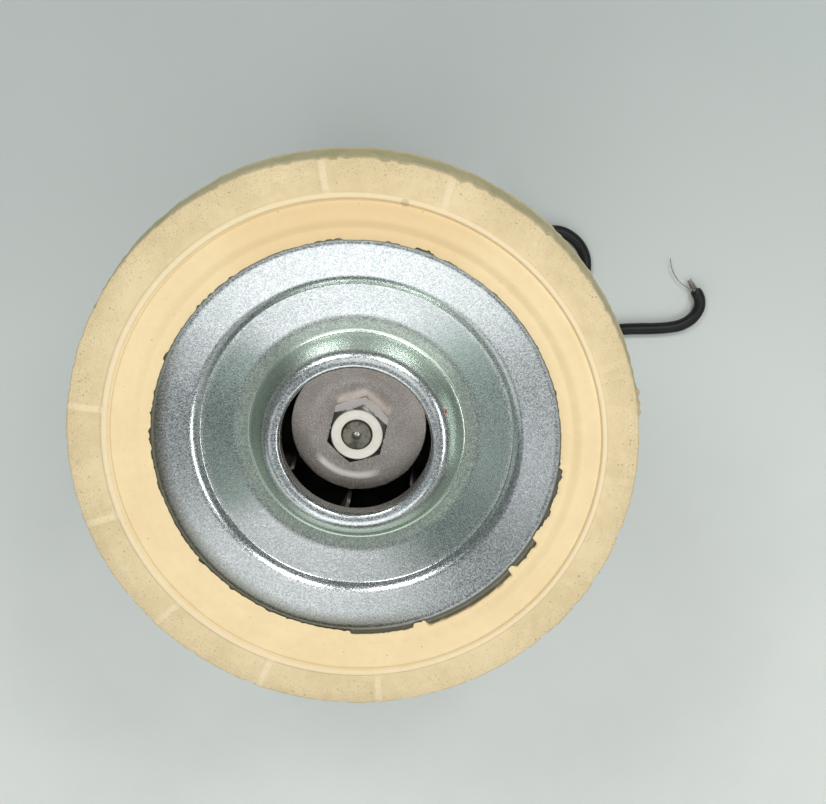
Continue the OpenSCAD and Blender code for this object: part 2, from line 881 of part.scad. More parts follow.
module lead_sleeves() {
    color([0.55, 0.5, 0.4])
        for (route = [lead_a_route, lead_b_route]) {
            translate(route[0])
                rotate([0, 90, 0])
                    difference() {
                        cylinder(h = sleeve_l, d = sleeve_d);
                        translate([0, 0, -1]) cylinder(h = sleeve_l + 2, d = lead_d + 0.4);
                    }
        }
}

module lead_a() {
    color([0.08, 0.08, 0.09]) swept_tube(spline(lead_a_route, 2), lead_d, 8, [0, 0, 1]);
}

module lead_b() {
    color([0.08, 0.08, 0.09]) swept_tube(spline(lead_b_route, 2), lead_d, 8, [0, 0, 1]);
}

module bared_end(route) {
    n = len(route);
    way = unit(route[n - 1] - spline(route, 2)[2 * n - 3]);
    color([0.72, 0.5, 0.32])
        swept_tube([route[n - 1], route[n - 1] + conductor_l * way], conductor_d, 8, [0, 0, 1]);
}

module lead_a_conductor() {
    bared_end(lead_a_route);
}

module lead_b_conductor() {
    bared_end(lead_b_route);
}

module jumper_right() {
    color([0.72, 0.7, 0.62]) swept_tube(spline(jumper_route, 2), jumper_d, 8, [0, 0, 1]);
}

module jumper_left() {
    rotate([0, 0, 180]) jumper_right();
}

// Rotor

module shaft() {
    color([0.8, 0.81, 0.82])
        difference() {
            union() {
                translate([0, 0, shaft_low]) cylinder(h = shaft_top - 0.8 - shaft_low, r = shaft_r);
                translate([0, 0, shaft_top - 0.8]) cylinder(h = 0.8, r1 = shaft_r, r2 = shaft_r - 0.8);
                translate([0, 0, rear_bearing_top])
                    cylinder(h = front_bearing_z - rear_bearing_top, d = armature_shaft_d);
            }
            translate([0, 0, shaft_top - 1.2]) cylinder(h = 1.3, r1 = 0.2, r2 = 1.2);
        }
}

module fan_nut() {
    corner = nut_af / cos(30);
    color([0.78, 0.79, 0.8])
        difference() {
            intersection() {
                translate([0, 0, nut_z]) rotate([0, 0, 16]) cylinder(h = nut_h, d = corner, $fn = 6);
                translate([0, 0, nut_z - 1])
                    cylinder(h = nut_h + 1, r1 = nut_af * 0.48 + 2 * (nut_h + 1), r2 = nut_af * 0.48);
            }
            translate([0, 0, nut_z - 1]) cylinder(h = nut_h + 2, r = shaft_r + tight);
        }
}

module fan_washer() {
    r = washer_d / 2;
    inner = nut_af * 0.69;
    slope = 2.5;
    outline = [
        [shaft_r + tight, washer_z],
        [inner + 0.3, washer_z],
        [inner + slope + 0.3, washer_z + washer_dish],
        [r, washer_z + washer_dish],
        [r, washer_z + washer_t + washer_dish],
        [inner + slope, washer_z + washer_t + washer_dish],
        [inner, washer_z + washer_t],
        [shaft_r + tight, washer_z + washer_t]
    ];
    color([0.62, 0.58, 0.53]) rotate_extrude() polygon(outline);
}

module fan_hub() {
    color([0.66, 0.67, 0.68]) ring(spacer_r, shaft_r + tight, fan_1_vane_z, hub_h);
}

module middle_spacer() {
    color([0.66, 0.67, 0.68])
        ring(spacer_r, shaft_r + tight, fan_2_vane_z, fan_1_back_z - fan_2_vane_z);
}

module lower_spacer() {
    color([0.66, 0.67, 0.68])
        ring(spacer_r, shaft_r + tight, front_bearing_top, fan_2_back_z - front_bearing_top);
}

module fan_vanes(z, h) {
    color([0.72, 0.73, 0.74])
        for (i = [0 : vane_count - 1]) {
            rotate([0, 0, 360 * i / vane_count])
                curved_vane(vane_tip_d / 2, vane_out_r, vane_t, z, h);
        }
}

module fan_1_front() {
    color([0.76, 0.77, 0.78]) ring(fan_d / 2, fan_eye_d / 2, fan_1_front_z, fan_t);
}

module fan_1_vanes() {
    fan_vanes(fan_1_vane_z, fan_1_vane_h);
}

module fan_1_back() {
    color([0.76, 0.77, 0.78]) ring(fan_d / 2, shaft_r + tight, fan_1_back_z, fan_t);
}

module fan_2_front() {
    color([0.76, 0.77, 0.78]) ring(fan_d / 2, fan_eye_d / 2, fan_2_front_z, fan_t);
}

module fan_2_vanes() {
    fan_vanes(fan_2_vane_z, fan_2_vane_h);
}

module fan_2_back() {
    color([0.76, 0.77, 0.78]) ring(fan_d / 2, shaft_r + tight, fan_2_back_z, fan_t);
}

module at_slots() {
    for (i = [0 : slot_count - 1]) {
        rotate([0, 0, 360 * i / slot_count]) children();
    }
}

module armature_core() {
    r = armature_d / 2;
    color([0.4, 0.41, 0.43])
        difference() {
            ring(r, armature_shaft_d / 2 + tight, core_z, stack_h);
            at_slots() block([r * 0.58, -1.7, core_z - 1], [r + 1, 1.7, core_top + 1]);
        }
}

module end_turns(z, way) {
    r = armature_d / 2 - 1;
    low = armature_shaft_d / 2 + 0.4;
    path = [
        [low, 0], [r - 0.5, 0], [r, 0.35 * winding_h], [r - 2.5, 0.8 * winding_h],
        [r - 6, winding_h], [low + 1, 0.85 * winding_h], [low, 0.6 * winding_h]
    ];
    translate([0, 0, z]) rotate_extrude() polygon([for (p = path) [p.x, way * p.y]]);
}

module armature_winding() {
    r = armature_d / 2;
    color([0.6, 0.3, 0.14]) {
        at_slots()
            block([r * 0.58 + slip, -1.7 + slip, core_z - 0.5], [r - 1.6, 1.7 - slip, core_top + 0.5]);
        end_turns(core_top, 1);
        end_turns(core_z, -1);
    }
}

module commutator_hub() {
    color([0.25, 0.17, 0.12]) ring(comm_r - 3.6, armature_shaft_d / 2 + tight, comm_z, comm_h);
}

module commutator_bars() {
    color([0.75, 0.45, 0.28])
        difference() {
            union() {
                ring(comm_r, comm_r - 3.58, comm_z, comm_h);
                ring(comm_r + 1.4, comm_r - 3.58, comm_top - 2, 2);
            }
            for (i = [0 : bar_count - 1]) {
                rotate([0, 0, 360 * i / bar_count])
                    block([0, -0.25, comm_z - 1], [comm_d, 0.25, comm_top + 1]);
            }
        }
}

front_gasket();
fan_cover();
return_upper_disc();
return_vanes();
return_lower_disc();
fan_bracket();
front_bearing_outer();
front_circlip();
field_core();
slot_liners();
field_coil_near();
field_coil_far();
rear_bracket();
rear_bearing_outer();
brush_holder_left();
brush_holder_right();
brush_tube_left();
brush_tube_right();
brush_cap_left();
brush_cap_right();
brush_spring_left();
brush_spring_right();
holder_screws();
through_bolts();
lead_sleeves();
lead_a();
lead_b();
lead_a_conductor();
lead_b_conductor();
jumper_left();
jumper_right();
shaft();
fan_nut();
fan_washer();
fan_hub();
fan_1_front();
fan_1_vanes();
fan_1_back();
middle_spacer();
fan_2_front();
fan_2_vanes();
fan_2_back();
lower_spacer();
armature_core();
armature_winding();
commutator_hub();
commutator_bars();
front_bearing_inner();
rear_bearing_inner();
front_bearing_balls();
front_bearing_cage();
rear_bearing_balls();
rear_bearing_cage();
brush_left();
brush_right();
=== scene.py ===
"""Vacuum motor unit: camera, leads, soft and wound pieces, finishes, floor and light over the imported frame.

Shapes are worked out in millimetres, in the frame's own axes: Z along the shaft, the inlet up, the base at zero.
"""
import math

import bpy
import numpy as np
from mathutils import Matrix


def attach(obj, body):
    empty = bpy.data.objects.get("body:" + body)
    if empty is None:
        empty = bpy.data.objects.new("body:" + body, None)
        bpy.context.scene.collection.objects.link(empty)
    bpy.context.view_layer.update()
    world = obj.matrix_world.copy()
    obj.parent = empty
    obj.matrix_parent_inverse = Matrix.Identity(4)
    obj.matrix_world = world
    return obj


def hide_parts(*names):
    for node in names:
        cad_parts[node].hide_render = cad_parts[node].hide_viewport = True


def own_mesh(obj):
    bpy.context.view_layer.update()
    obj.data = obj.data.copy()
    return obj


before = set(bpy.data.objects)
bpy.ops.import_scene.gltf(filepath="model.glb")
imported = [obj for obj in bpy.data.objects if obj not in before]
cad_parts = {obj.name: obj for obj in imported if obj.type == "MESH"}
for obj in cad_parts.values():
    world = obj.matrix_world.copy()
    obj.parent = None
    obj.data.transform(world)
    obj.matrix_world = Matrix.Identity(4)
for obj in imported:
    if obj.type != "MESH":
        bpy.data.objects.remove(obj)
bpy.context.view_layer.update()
scene = bpy.context.scene
scene.view_settings.view_transform = "Standard"

MM = 0.001
TURN = 2 * math.pi

# Camera: it looks down into the inlet, a little from the back.
CAMERA_PLACE = (22.465, 106.751, 465.942)
CAMERA_TILT = (-16.66, 1.66, 0.0)
CAMERA_LENS = 65.94
CAMERA_SENSOR = 36.0

# Leads: the insulation's thickness, the bared strands with the angle from one to the next, and the routes' points.
LEAD_D = 3.6
BARED_L = 4.0
STRAND_COUNT = 15
STRAND_R = 0.17
SUNFLOWER = 2.399963
LEAD_A_ROUTE = [
    (18.7, -24.5, 36), (24, -24.5, 36), (29.6, -24.4, 34.8), (34.4, -24, 30.8), (38.2, -23.2, 24.6),
    (41.4, -21.8, 17.2), (45.4, -19.6, 10.2), (50.4, -16.6, 5), (56.4, -13.2, 2.4), (62.4, -10.6, 2),
    (68, -8.9, 2), (72.8, -8, 2), (77, -7.6, 2), (80.8, -7.5, 2), (84.8, -7.4, 2), (89.4, -7, 2),
    (93.3, -6.1, 2), (96.5, -4, 2), (98.4, -0.9, 2), (98.4, 2.3, 2), (97, 4.9, 2),
]
LEAD_B_ROUTE = [
    (18.7, 24.5, 36), (24, 24.5, 36), (29.6, 24.5, 34.8), (34.2, 24.4, 30.8), (37.4, 24.2, 24.8),
    (39.4, 24, 18.4), (41.4, 23.8, 12.2), (45, 23.6, 6.6), (49.8, 23.5, 3.2), (54.4, 23.2, 2.1),
    (58.1, 21.4, 2), (61, 18.3, 2), (62.5, 14.3, 2), (62.4, 10, 2), (60.5, 6.2, 2), (57.2, 3.5, 2),
    (53.1, 2.4, 2), (49, 3.3, 2), (45.4, 5.8, 2), (42.8, 9.5, 2), (41.1, 13.6, 2),
]
SLEEVE_D = 5.8
SLEEVE_L = 6.0
SLEEVE_END = 0.4
JUMPER_D = 1.8
JUMPER_ROUTE = [
    (10, -25, 32.1), (11.5, -25, 30), (17, -24, 28), (25, -21, 27.5), (33, -16, 27.5), (39, -9.6, 26.6),
    (42.6, -3.6, 24.6), (43.6, -0.6, 23.4),
]

# Gasket: the radius and the height of each face, each rib's share of its height, and where the lip is torn back
# and the rim stands out, from one angle to another in degrees and by how much.
GASKET_STEPS = 1120
LIP_R = 46.4
LIP_Z = 142.1
LIP_BEND_R = 5.1
LIP_BEND_Z = 136.2
FOLD_R = 48.7
FOLD_W = 2.6
INNER_Z = 143.0
INNER_MARK = 0.4
SWELL_R = (52.4, 55.2)
SWELL_H = 0.3
RIDGE_Z = 143.8
RIDGE_UP_R = (55.4, 56.1)
RIDGE_DOWN_R = (56.75, 57.3)
OUTER_R = 57.8
OUTER_Z = 143.4
EDGE_R = 63.9
EDGE_ROUND = 0.6
RIM_R = 65.3
RIM_SHIFT = -0.8
SHIFT_R = (52, 63)
BACK_ROUND = 0.6
FLANGE_LOW_Z = 132.6
NECK_R = 54.4
SLEEVE_R = (49.1, 52.5)
SLEEVE_LOW_Z = 125.2
SLEEVE_ROUND = 0.5
RIB_COUNT = 14
RIB_FIRST = 18.0
RIB_W = 1.6
RIB_H = 0.28
RIB_KEPT = (0.3, 0.1, 0.8, 0.8, 0.12, 0.1, 1.0, 0.9, 0.8, 0.9, 0.8, 0.12, 0.1, 0.3)
LIP_TEARS = ((268, 286.3, 0.9), (290.2, 318.6, 1.6), (320.8, 330.3, 1.3), (335.2, 353, 0.6), (69, 73, 0.5),
             (93, 95, 0.3))
RIM_FINS = ((5, 9, 0.9), (53, 58, 0.6), (62, 67, 0.4), (150, 163, 0.5))

# Cover: the middle line of its sheet as radius and height, with the bend at each corner.
COVER_T = 0.9
COVER_STEPS = 360
COVER_LINE = [
    (17.65, 137.8), (17.65, 141.65), (20.5, 141.65), (24.2, 135.6), (28.2, 135.75), (36.0, 137.3), (37.6, 138.85),
    (48.55, 141.6), (48.55, 90.0),
]
COVER_BENDS = (0.7, 2.8, 1.7, 9.0, 1.2, 3.8, 2.6)

# Fan nut and washer: across flats, the turn of the nut's first flat in degrees, its cones, and the washer's dish.
NUT_FLATS = 12.7
NUT_TURN = 46.0
NUT_Z = (128.8, 135.8)
NUT_BORE_R = 3.25
NUT_STEPS = 480
CONE_CUT = 0.35
CONE_SLOPE = 1.5
CONE_LOW = 0.25
WASHER_R = 15.9
WASHER_Z = (127.5, 128.8)
WASHER_DISH = 0.12
WASHER_DISH_R = (9.2, 12.6)
WASHER_BORE_R = 3.3
WASHER_EDGE = 0.2
WASHER_STEPS = 240

# Windings: the field coils' room, the armature's slots and the springs.
COIL_WIRE_D = 0.76
COIL_LAYERS = 9
COIL_TURNS = 9
COIL_IN_X = 11.6
COIL_IN_Z = 15.6
COIL_MID_Z = 55.0
COIL_Y = (22.4, 30.0)
CORE_Z = (40.0, 70.0)
SLOT_COUNT = 12
SLOT_R = (10.6, 16.4)
SLOTS_SPANNED = 5
END_TURN_H = 9.0
ARMATURE_WIRE_D = 0.8
COMM_TOP_Z = 30.0
COMM_RISER_R = 13.2
BAR_COUNT = 22
SPRING_X = (30.1, 39.0)
SPRING_R = 2.7
SPRING_WIRE_D = 0.6
SPRING_CURLS = 6
BRUSH_Z = 22.0


# Shapes

def smooth(low, high, x):
    """0 below low, 1 above high, and the cubic 3s^2 - 2s^3 between them."""
    s = np.clip((np.asarray(x, float) - low) / (high - low), 0, 1)
    return s * s * (3 - 2 * s)


def bell(x, middle, width):
    """A bell of height 1 about a middle: e to the minus square of the distance in widths."""
    return np.exp(-((x - middle) / width)**2)


def steps(count):
    """Even steps from 0 up to, and without, 1, as one row."""
    return np.linspace(0, 1, count, endpoint=False)[None, :]


def angles(count):
    """Even angles round one turn, as one column."""
    return np.arange(count)[:, None] * TURN / count


def points_at(r, q, z):
    """Points at a radius and an angle about Z, and at a height."""
    return np.stack(np.broadcast_arrays(r * np.cos(q), r * np.sin(q), z), axis=-1)


def turned(r, z, count):
    """An outline of radius and height turned about Z: one copy of it at each of count even angles."""
    return points_at(np.atleast_2d(r), angles(count), np.atleast_2d(z))


def flow(route, count):
    """Smooth line through the route: in each span the cubic whose slopes are half the step between its neighbours."""
    p = np.asarray(route, float)
    q = np.vstack([p[:1], p, p[-1:]])
    t = steps(count).reshape(1, -1, 1)
    a, b, c, d = (q[i:len(q) - 3 + i, None, :] for i in range(4))
    line = b + 0.5 * ((c - a) * t + (2 * a - 5 * b + 4 * c - d) * t**2 + (3 * b - a - 3 * c + d) * t**3)
    return np.vstack([line.reshape(-1, 3), p[-1:]])


def tube(path, radius, sides, lean):
    """A circle carried along a path: each ring is square to the path, and starts square to the lean direction."""
    path = np.asarray(path, float)
    along = np.gradient(path, axis=-2)
    along /= np.linalg.norm(along, axis=-1, keepdims=True)
    across = np.cross(along, np.asarray(lean, float))
    across /= np.linalg.norm(across, axis=-1, keepdims=True)
    over = np.cross(across, along)
    q = angles(sides)
    ring = np.cos(q) * across[..., None, :] + np.sin(q) * over[..., None, :]
    radius = np.broadcast_to(np.asarray(radius, float), path.shape[:-1])
    return path[..., None, :] + radius[..., None, None] * ring


def patch(grid, closed=(False, True), caps=True):
    """Faces over a grid of points: each point joins its next neighbours both ways, a closed way runs back to
    its start, and caps close the first and last ring. Returns the points, the faces and each corner's place."""
    grid = np.asarray(grid, float)
    grid = grid[None] if grid.ndim == 3 else grid
    count, rows, cols = grid.shape[:3]
    i, j = np.meshgrid(np.arange(rows - (not closed[0])), np.arange(cols - (not closed[1])), indexing="ij")
    corner = np.stack([np.stack([i, j], -1), np.stack([i, j + 1], -1), np.stack([i + 1, j + 1], -1),
                       np.stack([i + 1, j], -1)], axis=-2).reshape(-1, 4, 2)
    quad = (corner[..., 0] % rows) * cols + corner[..., 1] % cols
    offset = np.arange(count) * rows * cols
    faces = (quad[None] + offset[:, None, None]).reshape(-1, 4)
    place = np.tile((corner / (rows, cols)).reshape(-1, 2), (count, 1))
    ends = np.zeros((0, cols), int)
    if caps:
        ring = np.arange(cols)
        ends = np.concatenate([offset[:, None] + ring[::-1], offset[:, None] + (rows - 1) * cols + ring])
        place = np.vstack([place, np.zeros((ends.size, 2))])
    points = grid.reshape(-1, 3)
    a, b, c, d = (points[faces[:, k]] for k in range(4))
    if np.sum(a * np.cross(b, c) + a * np.cross(c, d)) < 0:
        faces, ends = faces[:, ::-1], ends[:, ::-1]
        quads = 4 * len(faces)
        place = np.vstack([place[:quads].reshape(-1, 4, 2)[:, ::-1].reshape(-1, 2), place[quads:]])
    return points, faces, ends, place


def ring_patch(grid):
    """A patch that runs back to its start both ways, as a turned outline does."""
    return patch(grid, (True, True), False)


def piece(name, *patches, marks=None, sharp=40.0):
    """One mesh object of several patches, in metres, with its corner places as UV and its marks as attributes."""
    points, quads, ends, place_quads, place_ends, start = [], [], [], [], [], 0
    for p, q, e, place in patches:
        points.append(p)
        quads += (q + start).tolist()
        ends += (e + start).tolist()
        place_quads.append(place[:q.size])
        place_ends.append(place[q.size:])
        start += len(p)
    mesh = bpy.data.meshes.new(name)
    mesh.from_pydata(np.vstack(points) * MM, [], quads + ends)
    mesh.uv_layers.new(name="lay").data.foreach_set("uv", np.vstack(place_quads + place_ends).ravel())
    for label, values in (marks or {}).items():
        mesh.attributes.new(label, "FLOAT", "POINT").data.foreach_set("value", np.ravel(values))
    mesh.polygons.foreach_set("use_smooth", np.ones(len(mesh.polygons), bool))
    mesh.set_sharp_from_angle(angle=math.radians(sharp))
    mesh.validate()
    obj = bpy.data.objects.new(name, mesh)
    scene.collection.objects.link(obj)
    return obj


def bent_strip(line, bends, count):
    """A sheet's middle line: straight runs, closer stepped at their ends, and an arc of the bend's radius at each
    corner, whose ends lie radius / tan(half the corner's angle) from it."""
    p = np.asarray(line, float)
    bends = np.asarray(bends, float)[:, None]
    back = p[:-2] - p[1:-1]
    back /= np.linalg.norm(back, axis=1, keepdims=True)
    ahead = p[2:] - p[1:-1]
    ahead /= np.linalg.norm(ahead, axis=1, keepdims=True)
    half = np.arccos(np.sum(back * ahead, axis=1, keepdims=True)) / 2
    middle = back + ahead
    centre = p[1:-1] + middle / np.linalg.norm(middle, axis=1, keepdims=True) * bends / np.sin(half)
    first = p[1:-1] + back * bends / np.tan(half)
    last = p[1:-1] + ahead * bends / np.tan(half)
    sweep = (math.pi - 2 * half)[:, None, :]
    t = np.linspace(0, 1, count)[None, :, None]
    arcs = centre[:, None] + (
        np.sin((1 - t) * sweep) * (first - centre)[:, None] + np.sin(t * sweep) * (last - centre)[:, None]
    ) / np.sin(sweep)
    starts = np.vstack([p[:1], last])
    stops = np.vstack([first, p[-1:]])
    s = ((1 - np.cos(math.pi * np.arange(1, 7) / 7)) / 2)[None, :, None]
    runs = starts[:, None] * (1 - s) + stops[:, None] * s
    bodies = [np.vstack([run, arc]) for run, arc in zip(runs[:-1], arcs)]
    return np.vstack([p[:1], *bodies, runs[-1], p[-1:]])


# Camera and leads

def photograph_camera():
    """The camera that the picture was taken from."""
    lens = bpy.data.cameras.new("camera")
    lens.lens = CAMERA_LENS
    lens.sensor_width = CAMERA_SENSOR
    lens.sensor_fit = "HORIZONTAL"
    lens.clip_start = 0.01
    lens.clip_end = 50.0
    camera = bpy.data.objects.new("camera", lens)
    camera.location = np.array(CAMERA_PLACE) * MM
    camera.rotation_euler = np.radians(CAMERA_TILT)
    scene.collection.objects.link(camera)
    scene.camera = camera


def insulated_lead(name, route):
    """Black insulation: a tube along the route, its radius uneven by a hundredth, drawn in at the stripped end."""
    path = flow(route, 9)
    s = np.linspace(0, 1, len(path))
    radius = LEAD_D / 2 * (1 + 0.008 * np.sin(41 * s) + 0.006 * np.sin(97 * s + 1))
    radius *= 1 - 0.1 * smooth(0.985, 1, s)
    obj = piece(name, patch(tube(path, radius, 24, (0, 0, 1))))
    return obj, path


def bared_strands(name, path, stray, twist):
    """Tinned strands that leave the cut end of a lead: they start packed on a sunflower disc, go on along the lead's
    last direction, part by the square of the way, and one stray strand curls off further."""
    ahead = path[-1] - path[-3]
    ahead /= np.linalg.norm(ahead)
    side = np.cross(ahead, (0, 0, 1))
    side /= np.linalg.norm(side)
    up = np.cross(side, ahead)
    k = np.arange(STRAND_COUNT)[:, None]
    t = np.linspace(0, 1, 14)[None, :]
    spread = 0.72 * np.sqrt((k + 0.5) / STRAND_COUNT)
    angle = SUNFLOWER * k + twist * t
    length = BARED_L * (0.62 + 0.36 * np.cos(1.7 * k) ** 2)
    length[0] = BARED_L * (1 + 2.2 * stray)
    part = 1 + 0.55 * t**2
    part[0] = 1
    out = spread * part * np.cos(angle)
    out = out + np.where(k == 0, stray * (9.1 * t**2 - 10.8 * t), 0)
    rise = spread * part * np.sin(angle) - 0.75 * t**2 * (spread * np.sin(angle) + 0.7)
    line = (path[-1] + (-0.6 + t * (length + 0.6))[..., None] * ahead
            + out[..., None] * side + rise[..., None] * up)
    radius = STRAND_R * (1 - 0.25 * t**6) * np.ones((STRAND_COUNT, 1))
    return piece(name, patch(tube(line, radius, 7, up + 0.2 * side)))


photograph_camera()
lead_a, path_a = insulated_lead("black_lead_a", LEAD_A_ROUTE)
lead_b, path_b = insulated_lead("black_lead_b", LEAD_B_ROUTE)
strands_a = bared_strands("lead_a_strands", path_a, 1.0, 0.9)
strands_b = bared_strands("lead_b_strands", path_b, 0.0, 1.4)
for lead, path, strands, node in ((lead_a, path_a, strands_a, "lead_a"), (lead_b, path_b, strands_b, "lead_b")):
    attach(lead, "housing")
    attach(strands, "housing")
    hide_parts(node)
    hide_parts(node + "_conductor")
    path[0] * MM
    path * MM


# Gasket

def ragged(turn, size, seed):
    """An uneven line round the ring: 200 waves of seeded phase, whose height falls with the root of their number."""
    rng = np.random.default_rng(seed)
    k = np.arange(3, 203)
    waves = np.sin(k * turn + rng.uniform(0, TURN, k.size)) * rng.uniform(0.3, 1, k.size) / np.sqrt(k)
    return size * waves.sum(axis=1, keepdims=True)


def nicks(deg, count, depth, width, seed):
    """Steps back of the edge at seeded angles, each over a seeded width and to a seeded depth, with steep ends."""
    rng = np.random.default_rng(seed)
    middle = rng.uniform(0, 360, count)
    half = rng.uniform(0.2, 1, count) * width / 2
    size = rng.uniform(0.2, 1, count) * depth
    off = np.abs((deg - middle + 180) % 360 - 180)
    return np.sum(size * (1 - smooth(-0.2, 0.2, off - half)), axis=1, keepdims=True)


def lip_edge(turn):
    """Radius of the gasket lip's edge at each angle: the moulded radius, a faintly ragged line with small nicks,
    and the tears, each a step back with steep ends."""
    deg = np.degrees(turn)
    edge = LIP_R + ragged(turn, size=0.045, seed=3) + nicks(deg, count=60, depth=0.3, width=2.6, seed=4)
    for start, end, depth in LIP_TEARS:
        edge = edge + depth * smooth(start - 0.4, start + 0.4, deg) * (1 - smooth(end - 0.4, end + 0.4, deg))
    return edge


def rib(deg, r):
    """Height of the ribs from 0 to 1: a band of arc length about the nearest rib's middle, with soft sides, times
    the share of that rib that wear has left."""
    pitch = 360 / RIB_COUNT
    place = (deg - RIB_FIRST) / pitch
    nearest = np.round(place)
    far = np.abs(np.radians((place - nearest) * pitch)) * r
    kept = np.array(RIB_KEPT)[nearest.astype(int) % RIB_COUNT]
    return kept * (1 - smooth(RIB_W / 2 - 0.3, RIB_W / 2 + 0.3, far))


def rubber_gasket():
    """The ring's closed outline turned about Z. At each angle it runs from the lip's edge over the fold, the inner
    face, the ridge, the ribbed outer face and the rim, back under the flange, down the sleeve and up its bore.
    Thin fins stand out of the rim in places, and its upper edge is nicked. Each run marks how far it is raised."""
    turn = angles(GASKET_STEPS)
    deg = np.degrees(turn)
    lip = lip_edge(turn)
    lift = 0.16 + ragged(turn, size=0.05, seed=5)
    fin = sum(depth * smooth(a - 2, a, deg) * (1 - smooth(b, b + 2, deg)) for a, b, depth in RIM_FINS)
    fin = np.clip(fin * (0.7 + ragged(turn, size=0.5, seed=8)), 0, 1.2)
    fin = fin + np.clip(0.06 + ragged(turn, size=0.05, seed=9), 0, 0.3)
    uneven = ragged(turn, size=0.07, seed=11)
    bites = nicks(deg, count=70, depth=0.5, width=1.8, seed=12)
    foot, brow = SWELL_R
    bore, outside = SLEEVE_R
    front_r = EDGE_R + EDGE_ROUND
    back_r = RIM_R - BACK_ROUND
    rim_top = OUTER_Z - EDGE_ROUND
    rim_low = FLANGE_LOW_Z + BACK_ROUND
    sleeve_low = SLEEVE_LOW_Z + SLEEVE_ROUND
    runs = []

    def run(r, z, raised=0.0):
        runs.append(np.stack(np.broadcast_arrays(r + 0 * turn, z + 0 * turn, raised + 0 * r * turn)))

    s = steps(6)
    run(lip + (FOLD_R - lip) * s, LIP_Z + (lift - 0.5) * (1 - s)**2, 0.45)
    s = steps(8)
    run(FOLD_R + FOLD_W * s, LIP_Z + (INNER_Z - LIP_Z) * smooth(0, 1, s) - 0.06 * bell(s, 0.15, 0.1), INNER_MARK)
    s = steps(4)
    run(FOLD_R + FOLD_W + (foot - FOLD_R - FOLD_W) * s, INNER_Z, INNER_MARK)
    r = np.hstack([foot + (brow - foot) * steps(4), brow + (OUTER_R - brow) * steps(18)])
    rise = smooth(*RIDGE_UP_R, r)
    fall = smooth(*RIDGE_DOWN_R, r)
    z = INNER_Z + SWELL_H * smooth(*SWELL_R, r) + (RIDGE_Z - INNER_Z - SWELL_H) * rise
    z = z - (RIDGE_Z - OUTER_Z) * fall * (1 - 0.6 * rib(deg, r)) - 0.14 * bell(r, RIDGE_UP_R[0], 0.2)
    run(r, z, INNER_MARK + (1 - INNER_MARK) * rise * (1 - fall) - INNER_MARK * fall * (1 - rib(deg, r)))
    s = steps(5)
    r = OUTER_R + (EDGE_R - OUTER_R) * s
    run(r, OUTER_Z + RIB_H * rib(deg, r), rib(deg, r))
    q = steps(6) * math.pi / 2
    r = EDGE_R + EDGE_ROUND * np.sin(q)
    top = rib(deg, r) * np.cos(q)**2
    run(r + (uneven - bites) * np.sin(q), rim_top + EDGE_ROUND * np.cos(q) + RIB_H * top, 0.8 * top)
    s = steps(13)
    stand = fin * bell(s, 0.92, 0.06)
    run(front_r + (RIM_R - front_r) * s**1.3 + uneven - bites * (1 - s)**3 + stand, rim_top + (rim_low - rim_top) * s)
    q = steps(3) * math.pi / 2
    run(back_r + BACK_ROUND * np.cos(q) + uneven, rim_low - BACK_ROUND * np.sin(q))
    s = steps(3)
    run(back_r + (NECK_R - back_r) * s, FLANGE_LOW_Z + 0.4 * np.sin(math.pi * s))
    s = steps(5)
    run(outside + (NECK_R - outside) * (1 - s)**2.2, FLANGE_LOW_Z + (sleeve_low - FLANGE_LOW_Z) * s)
    q = steps(4) * math.pi
    run((outside + bore) / 2 + (outside - bore) / 2 * np.cos(q), sleeve_low - SLEEVE_ROUND * np.sin(q))
    s = steps(2)
    run(bore + 0 * s, sleeve_low + (LIP_BEND_Z - sleeve_low) * s)
    s = steps(6)
    centre = bore - LIP_BEND_R
    q = s * np.arccos(np.clip((lip + 0.15 - centre) / LIP_BEND_R, -1, 1))
    run(centre + LIP_BEND_R * np.cos(q), LIP_BEND_Z + LIP_BEND_R * np.sin(q) + lift * smooth(0.6, 1, s))

    r, z, raised = np.concatenate(runs, axis=2)
    grid = points_at(r, turn, z)
    grid[..., 0] += RIM_SHIFT * smooth(*SHIFT_R, r)
    return piece("gasket_ring", ring_patch(grid), marks={"raised": raised}, sharp=55)


gasket = rubber_gasket()


# Cover

def pressed_cover():
    """The cover's sheet: its bent middle line set off by half the thickness to each side, closed at both edges
    and turned about Z, with a slow wave of a few hundredths such as pressing leaves."""
    line = bent_strip(COVER_LINE, COVER_BENDS, 12)
    along = np.gradient(line, axis=0)
    along /= np.linalg.norm(along, axis=1, keepdims=True)
    square = np.stack([along[:, 1], -along[:, 0]], axis=1)
    outline = np.vstack([line - square * COVER_T / 2, (line + square * COVER_T / 2)[::-1]])
    grid = turned(outline[:, 0], outline[:, 1], COVER_STEPS)
    q = angles(COVER_STEPS)
    level = smooth(130, 136, grid[..., 2])
    grid[..., 2] += level * (0.03 * np.sin(3 * q + 1) + 0.015 * np.sin(8 * q))
    return piece("cover_pressing", ring_patch(grid), sharp=35)


cover = pressed_cover()


# Nut and washer

